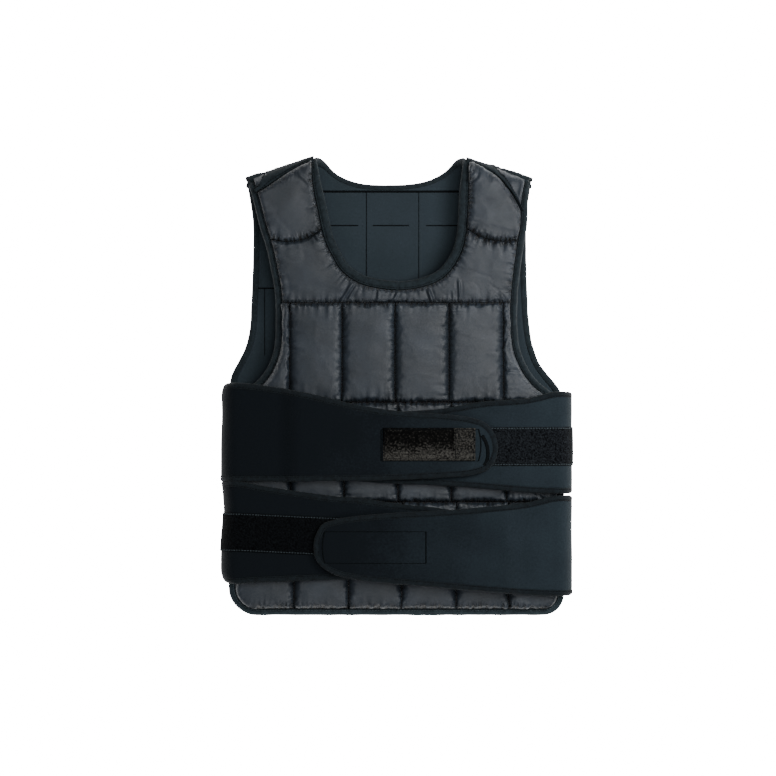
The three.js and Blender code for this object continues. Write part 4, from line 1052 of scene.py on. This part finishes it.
class Edge:
    """Places along a panel's edge, 2.4 mm apart, with the direction out of the panel at each. Towards the shoulder seam
    the tape goes over to top_width and to 0.62 of its thickness."""

    def __init__(self, surface, line, outward, width, row_of=None, top_width=0):
        length = np.linalg.norm(np.diff(line, axis=0), axis=1).sum()
        self.surface = surface
        self.line = along_line(line, spaced(length, 2.4))
        self.out = right_of(self.line) * outward
        near_top = 0 * self.line[:, 0] if row_of is None else step(row_of(*self.line.T), 0.72, 1)
        self.width = mix(width, top_width, near_top)
        self.flatter = mix(1, 0.62, near_top)

    def rings(self, low, high, seed):
        """Tape sections along the edge, flatter over the shoulder. Noise over 9 and 14 mm ripples their width and
        height."""
        reach = np.concatenate([[0], np.cumsum(np.linalg.norm(np.diff(self.line, axis=0), axis=1))])
        ripple = uneven(reach / 9, 0 * reach, seed)[:, None]
        sway = uneven(reach / 14, 0 * reach + 5, seed)[:, None]
        across = mix(SEWN_GAP, self.width[:, None] + 0.35 * sway, TAPE_SECTION[:, 0])
        up = mix(low, high * self.flatter[:, None] + 0.35 * ripple * (TAPE_SECTION[:, 1] > 0.5), TAPE_SECTION[:, 1])
        place = self.line[:, None] + self.out[:, None] * across[..., None]
        return self.surface(place[..., 0], place[..., 1], up)


def folded_tape(name, edges, low, high, slot, closed=False, seed=1, thread=None):
    """Binding along one or more edges in a row, with its stitches and the place along the tape for the ribs. The
    front's hem and the wraps have tapes of their own."""
    rings = np.concatenate([edge.rings(low, high, seed) for edge in edges])
    along = np.concatenate([[0], np.cumsum(np.linalg.norm(np.diff(rings.mean(1), axis=0), axis=1))])
    around = np.cumsum(np.linalg.norm(np.diff(TAPE_SECTION * [10, high - low], axis=0, prepend=0), axis=1))
    places = np.stack(np.broadcast_arrays(along[:, None], around[None], 0.0), -1).reshape(-1, 3)
    hem = name == "front_edge_binding"
    finish = WRAP_TAPE if name.startswith("wrap") else HEM_TAPE if hem else TAPE
    new_piece(f"tape_{name}", [swept(rings, closed)], finish, slot, name, along=places)
    seam = rings[:, 4]
    up = np.cross(np.gradient(seam, axis=0), rings[:, 6] - rings[:, 2])
    up *= np.sign(np.sum(up * (rings[:, 6] - rings[:, 14]), axis=1, keepdims=True))
    up /= np.linalg.norm(up, axis=1, keepdims=True)
    new_piece(f"thread_{name}", [stitches(seam + 0.1 * up, up)], thread or THREAD, slot)


PANEL_LOW = -LINING_THICKNESS - BINDING_DROP


def neck_edges():
    """The neck's edge as a ring: up the front's left half, down the back's left, and back the same way on the right."""
    found = []
    for panel, side in ((FRONT, -1), (BACK, -1), (BACK, 1), (FRONT, 1)):
        neck = panel.neck_line(side, 0)
        neck = part_of(panel, neck, panel.row_of(neck[0, 0], neck[0, 1]) + 1e-6, 0.985 if panel is FRONT else 1.0)
        outward = -side
        if (panel, side) in ((BACK, -1), (FRONT, 1)):
            neck, outward = neck[::-1], side
        width = NECK_BINDING_WIDTH if panel is FRONT else BACK_NECK_BINDING_WIDTH
        found.append(Edge(panel.surface, neck, outward, width, panel.row_of, 7.5))
    return found


def bindings():
    """Tapes round the neck, the armholes and each panel's sides and hem."""
    folded_tape("neck_binding", neck_edges(), PANEL_LOW, BINDING_RISE, "binding", closed=True, seed=2)
    for side, name in ((-1, "left"), (1, "right")):
        edges = []
        for panel, top in ((FRONT, 0.985), (BACK, 1.0)):
            line = panel.side_line(side, 0)
            line = part_of(panel, line, panel.row_of(0.0, ARMHOLE_START * BODY_LENGTH), top)
            outward = side
            if panel is BACK:
                line, outward = line[::-1], -side
            edges.append(Edge(panel.surface, line, outward, BINDING_WIDTH, panel.row_of, 7.5))
        folded_tape(f"armhole_binding_{name}", edges, PANEL_LOW, BINDING_RISE, "binding", seed=3 + side)
    for panel, name in ((FRONT, "front"), (BACK, "back")):
        top = panel.row_of(0.0, ARMHOLE_START * BODY_LENGTH - SEWN_GAP)
        left, right = (part_of(panel, panel.side_line(side, 0), -1, top) for side in (-1, 1))
        line = np.vstack([left[::-1], right])
        folded_tape(
            f"{name}_edge_binding", [Edge(panel.surface, line, 1, BINDING_WIDTH)], PANEL_LOW, BINDING_RISE, "binding", seed=7,
            thread=EDGE_THREAD,
        )


# Linings, whose edges reach into the bindings' fold
LINING_OVERLAP = -1


def lining_grids(panel, top, pitch):
    """Both halves of a lining as grids of rows and places across, with the middle column below the neck shared."""
    halves = [panel.neck_line(side, LINING_OVERLAP) for side in (-1, 1)]
    start = max(float(panel.row_of(neck[0, 0], neck[0, 1])) for neck in halves)
    below = mix(-1, start, spaced(panel.height_of(0.0, start), pitch))
    above = mix(start, top, spaced(panel.height_of(-110.0, top) - panel.height_of(-110.0, start), pitch))
    rows = np.concatenate([below, above[1:]])[:, None]
    places, ids = [], []
    for side in (-1, 1):
        across = spaced(HALF_WIDTH, pitch)
        x = mix(panel.neck_x(side, LINING_OVERLAP, rows), panel.edge_x(side, LINING_OVERLAP, rows), across)
        y = np.maximum(panel.height_of(x, rows), LINING_OVERLAP)
        ids.append(len(ids) * x.size + np.arange(x.size).reshape(x.shape))
        places.append(np.stack([x, y], -1).reshape(-1, 2))
    ids[1][: len(below), 0] = ids[0][: len(below), 0]
    faces = np.vstack([cells(ids[0])[:, ::-1], cells(ids[1])])
    return np.vstack(places), faces


# Seams across and up the back's lining, and the openings of its pockets, drawn as dark strips of painted shadow: from
# x, height to x, height.
LINING_SEAMS = [
    (-97, 544.6, 81, 544.6), (-39, 544, -39, 425), (29.2, 544, 29.2, 425), (-172, 417.4, -172, 330),
]
LINING_SLIT_SHADOWS = [
    (-86.5, 499.3, -50, 499.3), (-30.6, 499.3, 16.3, 499.3), (38.4, 499.3, 80, 499.3), (-182.7, 417.4, -158, 417.4),
]


def lining_seams():
    """Flat seams of the back's lining, doubled where the neck's facing ends by a wider dark row that is painted shadow
    under the facing's edge, and the pockets' openings between them as dark strips of painted shadow.
    """
    out = -LINING_THICKNESS - 0.1
    rows = [sewn_line(back_surface, [line[:2], line[2:]], out, 0.45, 0.35) for line in LINING_SEAMS]
    # Painted shadow: this wider dark row stands for the shade under the facing's edge.
    rows.append(sewn_line(back_surface, [[-97, 543.4], [81, 543.4]], out, 1.2, 0.4))
    new_piece("thread_lining", rows, THREAD, "lining")
    # Painted shadow: the pocket openings are dark strips of thread lying on the lining.
    slit_shadows = [sewn_line(back_surface, [line[:2], line[2:]], out, 0.75, 0.3) for line in LINING_SLIT_SHADOWS]
    new_piece("slit_shadows_lining", slit_shadows, THREAD, "lining")


def lining(panel, name, top):
    """Neoprene lining, LINING_THICKNESS thick, with a faint quilted unevenness from the filled cells behind it."""
    place, faces = lining_grids(panel, top, 3.5)
    x, y = place[:, 0], place[:, 1]
    soft = 0.35 * uneven(x / 40, y / 55, 21) - 0.35
    skin = slab(panel.surface(x, y, -LINING_THICKNESS - soft), panel.surface(x, y, 0.0), faces)
    keep = np.unique(skin[1])
    number = np.zeros(len(skin[0]), int)
    number[keep] = np.arange(len(keep))
    piece = new_piece(f"neoprene_{name}", [(skin[0][keep], number[skin[1]])], LINING, "lining", name)


# Side wraps: reach and height on a sheet that starts at the back's side edge and curls up over the front


def layers_sway(x, y):
    """Slow unevenness from 0 to 1 mm that every layer over the front shares, so that no layer meets the next."""
    return 0.5 + 0.35 * uneven(x / 46, y / 34, 31) + 0.15 * uneven(x / 21, y / 17, 32)


class Wrap:
    """One side wrap: where its sheet lies, and its outline in reach and height."""

    def __init__(self, name):
        self.name = name
        self.side, self.top, self.height, self.reach, self.tip, self.under, self.edges = WRAPS[name]

    def level(self, share):
        """Height of a share of the wrap, down from its top."""
        return self.top - share * self.height

    def floor(self, x, y):
        """Height of the sheet's underside: above the pockets, and above the other wrap and its tapes where it lies on
        them."""
        lift = 0.0
        if self.under:
            side, reach = WRAPS[self.under][0], WRAPS[self.under][3]
            lift = LAYERS_BETWEEN * step((x - side * (CURL_X - reach)) * side, -LIFT_RAMP, -WRAP_THICKNESS)
        return front_floor(x, y) + POCKET_HEIGHT + QUILT_GAP + lift

    def surface(self, reach, y, out):
        """Point at reach and height, raised by out; below 0 the reach runs down round the curl."""
        x = self.side * (CURL_X - np.maximum(0, reach))
        floor = self.floor(x, y)
        turn = np.maximum(0, -reach) / CURL_ARC
        rise = (floor - ROOT_HEIGHT) / (1 - np.cos(ROOT_ANGLE))
        out = out + layers_sway(x, y)
        rounded = self.corner(y)
        curled = self.side * (CURL_BULGE * rounded + out) * np.sin(turn)
        return np.stack(np.broadcast_arrays(x + curled, y, floor - rise + (rise + out) * np.cos(turn)), -1)

    def corner(self, y):
        """Share of the curl's bulge left: it falls off as a circle at the corners, and by pull * exp(-(d / 34 mm)²) from a
        line three tenths down."""
        high, low, pull = WRAP_CORNERS[self.name]
        pulled = pull / CURL_BULGE * np.exp(-(((y - self.level(0.3)) / 34) ** 2))
        top = 1 - np.clip((self.top - y) / high, 0, 1)
        bottom = 1 - np.clip((y - self.top + self.height) / low, 0, 1)
        return 1 - pulled - high / 32 * (1 - np.sqrt(1 - top**2)) - low / 32 * (1 - np.sqrt(1 - bottom**2))

    def outline(self, inset):
        """Edge from the root along the top, round the tip and back along the bottom, moved inwards."""
        rows = np.array(self.edges, float)
        upper = np.stack([rows[:, 0] * self.reach, self.level(rows[:, 1])], 1)
        lower = np.stack([rows[:, 0] * self.reach, self.level(rows[:, 2])], 1)[::-1]
        start = [[ROOT_REACH, self.level(0)], [ROOT_REACH / 2, self.level(0)]]
        end = [[ROOT_REACH / 2, self.level(1)], [ROOT_REACH, self.level(1)]]
        return offset_line(smooth_line(np.vstack([start, upper, [[self.reach, self.level(self.tip)]], lower, end])), inset)

    def sheet_grid(self, inset, pitch):
        """Grid of places from the root to the tip, whose rows close in on the tip, and from the bottom edge to the top one."""
        line = self.outline(inset)
        tip = int(line[:, 0].argmax())
        front = line[tip, 0] * (1 - (1 - spaced(line[tip, 0], pitch)) ** 1.5) * 0.9995
        reach = np.concatenate([mix(ROOT_REACH, 0, spaced(-ROOT_REACH, pitch))[:-1], front])
        top = np.interp(reach, line[: tip + 1, 0], line[: tip + 1, 1])
        bottom = np.interp(reach, line[tip:, 0][::-1], line[tip:, 1][::-1])
        return reach[:, None], mix(bottom[:, None], top[:, None], spaced(self.height, pitch))

    def strip_grid(self, start, end, middle, width, pitch):
        """Grid of places of a strip this wide round a middle line, between two reaches."""
        reach = mix(start, end, spaced(end - start, pitch))[:, None]
        return reach, middle(reach) + width * (spaced(width, pitch) - 0.5)


def wrap_sheet(wrap):
    """Neoprene sheet with its binding sewn round its edge."""
    reach, y = wrap.sheet_grid(WRAP_BINDING_WIDTH - 0.8, 2.8)
    low, high = WRAP_BINDING_RISE, WRAP_BINDING_RISE + WRAP_THICKNESS
    skin = slab(wrap.surface(reach, y, low), wrap.surface(reach, y, high))
    piece = new_piece(f"neoprene_{wrap.name}", [skin], NEOPRENE, "neoprene", f"wrap_{wrap.name}")
    line = wrap.outline(0)
    edge = Edge(wrap.surface, wrap.outline(WRAP_BINDING_WIDTH), -1, WRAP_BINDING_WIDTH)
    folded_tape(f"wrap_binding_{wrap.name}", [edge], 0, WRAP_THICKNESS + 2 * WRAP_BINDING_RISE, "binding", seed=11)


def loop_tape(name):
    """Loop tape along an under-wrap, with a pale line of thread along each selvedge."""
    wrap_name, end, root_middle, tip_middle = LOOP_TAPES[name]
    wrap = Wrap(wrap_name)

    def middle(reach):
        return wrap.level(mix(root_middle, tip_middle, np.maximum(0, reach) / wrap.reach))

    reach, y = wrap.strip_grid(ROOT_REACH, end * wrap.reach, middle, TAPE_WIDTH, 2)
    edge = np.minimum(np.abs(y - middle(reach) + TAPE_WIDTH / 2), np.abs(y - middle(reach) - TAPE_WIDTH / 2))
    pile = WRAP_TOP + LOOP_THICKNESS * mix(0.55, 1, step(edge, 0.5, 3.5))
    skin = slab(wrap.surface(reach, y, WRAP_TOP), wrap.surface(reach, y, pile))
    new_piece(f"pile_{name}", [skin], LOOP[name], "loop_tape", f"loop_tape_{name}")
    rows = []
    for side in (-1, 1):
        line = np.stack([reach[:, 0], middle(reach[:, 0]) + side * (TAPE_WIDTH / 2 - 1.6)], 1)
        rows.append(stitched(wrap.surface, line, WRAP_TOP + 0.85 * LOOP_THICKNESS, 0.6))
    new_piece(f"thread_loop_{name}", rows, LOOP_THREAD, "loop_tape")


def hook_tape(name):
    """Hook tape under the end of an over-wrap, and the box of stitches that holds it, seen from above."""
    wrap_name, start, end, middle, past = HOOK_TAPES[name]
    wrap = Wrap(wrap_name)
    start, end = start * wrap.reach, end * wrap.reach
    reach, y = wrap.strip_grid(start, end, lambda r: wrap.level(middle) + 0 * r, HOOK_WIDTH, 2.5)
    low, high = WRAP_BINDING_RISE - SEWN_GAP - HOOK_THICKNESS, WRAP_BINDING_RISE - SEWN_GAP
    skin = slab(wrap.surface(reach, y, low), wrap.surface(reach, y, high))
    new_piece(f"hooks_{name}", [skin], HOOK, "hook_tape", f"hook_tape_{name}")
    left, right = start + 2, end + past
    foot, head = wrap.level(middle) - HOOK_WIDTH / 2 + 2, wrap.level(middle) + HOOK_WIDTH / 2 - 2
    turn = np.linspace(-1, 1, 9)
    bow = np.stack([right + 3 * (1 - turn**2), mix(foot, head, (turn + 1) / 2)], 1)
    sides = [[[left, foot], [right, foot]], bow, [[right, head], [left, head]], [[left, head], [left, foot]]]
    out = WRAP_BINDING_RISE + WRAP_THICKNESS
    rows = [stitched(wrap.surface, np.array(side, float), out) for side in sides]
    # These wider dark rows are partly stitches and partly painted shadow, standing for the groove at the box's end and
    # start.
    rows += [sewn_line(wrap.surface, side, out, 0.9, 0.3) for side in (bow, [[left, foot], [left, head]])]
    rows += [sewn_line(wrap.surface, side, out, 0.35, 0.2) for side in sides[::2]]
    # Painted shadow: a dark bar of thread stands for the shade in the gap at the upper over-wrap's tip.
    if name == "upper":
        rows.append(sewn_line(wrap.surface, smooth_line(TIP_SHADOW_BAR), out, 2.3, 0.3))
    new_piece(f"thread_hook_{name}", rows, THREAD, "hook_tape")


def label():
    """Bare satin label: its cloth, a folded tab across one end, and the stitches round both and across the tab."""
    wrap = Wrap("upper_left")
    start, tab, end = (share * wrap.reach for share in (PATCH_START, PATCH_TAB, PATCH_END))
    middle = wrap.level(PATCH_MIDDLE)
    reach, y = wrap.strip_grid(start, end, lambda r: middle + 0 * r, PATCH_WIDTH, 1.5)
    rise = PATCH_THICKNESS + step(reach, tab - 0.8, tab + 0.4)
    border = np.minimum(np.minimum(reach - start, end - reach), PATCH_WIDTH / 2 - np.abs(y - middle))
    sewn = 0.55 * np.exp(-((border - 2.2) / 1.1) ** 2) + 0.35 * (1 - step(border, 0, 0.9))
    swell = 0.35 * uneven(reach / 11, y / 9, 41) * step(border, 2, 7)
    top = WRAP_TOP + rise - sewn + 0.35 + swell
    # Painted sheen: the label's foot and its tab are painted paler, where the satin would catch the light.
    painted_sheen = 1 - step((y - middle) / PATCH_WIDTH + 0.1 * uneven(reach / 7, y / 5, 43), -0.5, 0.25)
    painted_sheen = np.maximum(painted_sheen, 0.66 * (reach > tab))
    painted_sheen = np.stack(np.broadcast_arrays(reach, y, 1000 * painted_sheen), -1).reshape(-1, 3)
    piece = new_piece(
        "satin_label", [slab(wrap.surface(reach, y, WRAP_TOP), wrap.surface(reach, y, top))], SATIN, "satin", "label_patch",
        along=np.vstack([painted_sheen, painted_sheen]),
    )
    low, high, out = middle - PATCH_WIDTH / 2 + 2, middle + PATCH_WIDTH / 2 - 2, WRAP_TOP + PATCH_THICKNESS
    left, right = tab + 2, end - 2
    rows = [[[start + 2, low], [tab - 1, low]], [[start + 2, high], [tab - 1, high]], [[start + 2, low], [start + 2, high]]]
    raised = [
        [[left, low], [right, low]], [[right, low], [right, high]], [[right, high], [left, high]], [[left, high], [left, low]],
        [[left, low], [right, high]], [[right, low], [left, high]],
    ]
    skins = [sewn_line(wrap.surface, row, out, 0.35, 0.3) for row in rows]
    skins += [sewn_line(wrap.surface, row, out + 1.1, 0.4, 0.35) for row in raised]
    new_piece("thread_label", skins, THREAD, "satin")


def wraps():
    """The four side wraps with their tapes and the label."""
    for name in WRAPS:
        wrap_sheet(Wrap(name))
    for name in ("upper", "lower"):
        loop_tape(name)
        hook_tape(name)
    label()


def shoulder_seams():
    """Two tapes across each shoulder: the outer one bounds the fold and its end runs out to the rim and back, and the
    inner one is sewn where the front pad ends. Both are rounded strips, with a row of stitches near each edge of the
    inner one."""
    for side, name in ((-1, "left"), (1, "right")):
        share, across = spaced(SEAM_TAPE_WIDTH + 7, 0.9)[:, None], spaced(70, 2)
        outer = mix(0.4 if side > 0 else 0.7, 1, across)
        skins, ribs = [], []
        for start, end, shares, point, rise, thin in (
            (
                0.988, FOLD_ROW + 0.02 * across, outer, 1 + 4 * np.sin(np.pi * share**2),
                2.5 * step(across, 0, 0.6), step(across, 0.75, 0.9),
            ),
            (pad_top(side, across), tape_top(side, across), across, 0, 0, 0),
        ):
            row = mix(start, end, share)
            x = mix(FRONT.neck_x(side, -3, row), FRONT.edge_x(side, -3, row) + side * point, shares)
            height = FRONT.height_of(x, row)
            top = mix(4, BINDING_RISE + 1 + rise, (1 - (2 * share - 1) ** 4)) + 0.25 * uneven(x / 8, height / 8, 51)
            low = mix(-LINING_THICKNESS, top - 3, thin)
            skins.append(slab(front_surface(x, height, low), front_surface(x, height, top)))
            rib = np.stack(np.broadcast_arrays(shares * 70 + 0 * row, share * SEAM_TAPE_WIDTH, 0.0), -1).reshape(-1, 3)
            ribs += [rib, rib]
        new_piece(f"tape_shoulder_{name}", skins, TAPE, "binding", f"shoulder_seam_{name}", along=np.vstack(ribs))
        rows = []
        for place in (0.14, 0.84):
            line = np.stack([mix(x[0], x[-1], place), mix(height[0], height[-1], place)], 1)
            rows.append(stitched(front_surface, line, BINDING_RISE + 0.9))
        new_piece(f"thread_shoulder_{name}", rows, THREAD, "binding")


quilting()
bindings()
shoulder_seams()
wraps()
lining(FRONT, "front_lining", TAPE_ROW - 0.005)
lining(BACK, "back_lining", 0.995)
lining_seams()


# Surface to lie on, light and camera, whose sizes are in metres
CAMERA_HEIGHT = 8
VIEW_LEVEL = 0.05
VIEW_WIDTH = 1.0088
VIEW_X = -0.011
VIEW_Y = -0.0035


def studio():
    """A pale table, a soft light high on the right, a broad one overhead, a weaker one from the hem, and a pale
    surround."""
    size = 6
    mesh = bpy.data.meshes.new("surface")
    mesh.from_pydata([(-size, -size, 0), (size, -size, 0), (size, size, 0), (-size, size, 0)], [], [(0, 1, 2, 3)])
    mesh.materials.append(opal_acrylic())
    surface = bpy.data.objects.new("surface", mesh)
    bpy.context.scene.collection.objects.link(surface)
    for name, place, width, power in (
        ("key", (0.62, 0.34, 0.8), 0.5, 13.5),
        ("overhead", (0.35, 0.3, 2.4), 1.5, 36),
        ("fill", (-0.1, -1.2, 1.1), 0.8, 10),
    ):
        light = bpy.data.lights.new(name, "AREA")
        light.shape, light.size, light.energy = "DISK", width, power
        lamp = bpy.data.objects.new(name, light)
        lamp.location = place
        lamp.rotation_euler = Vector(place).to_track_quat("Z", "Y").to_euler()
        bpy.context.scene.collection.objects.link(lamp)
    world = bpy.data.worlds.new("surround")
    world.use_nodes = True
    world.node_tree.nodes["Background"].inputs["Color"].default_value = linear("#F2F4F6")
    world.node_tree.nodes["Background"].inputs["Strength"].default_value = 0.32
    bpy.context.scene.world = world


def overhead_camera():
    """Straight above the middle of the photograph's frame, which is VIEW_WIDTH wide at the vest's mean height."""
    camera = bpy.data.cameras.new("overhead")
    camera.sensor_width = 36
    camera.lens = 36 * (CAMERA_HEIGHT - VIEW_LEVEL) / VIEW_WIDTH
    camera.clip_end = 20
    stand = bpy.data.objects.new("overhead", camera)
    stand.location = (VIEW_X, VIEW_Y, CAMERA_HEIGHT)
    bpy.context.scene.collection.objects.link(stand)
    bpy.context.scene.camera = stand


studio()
overhead_camera()

bpy.context.view_layer.update()
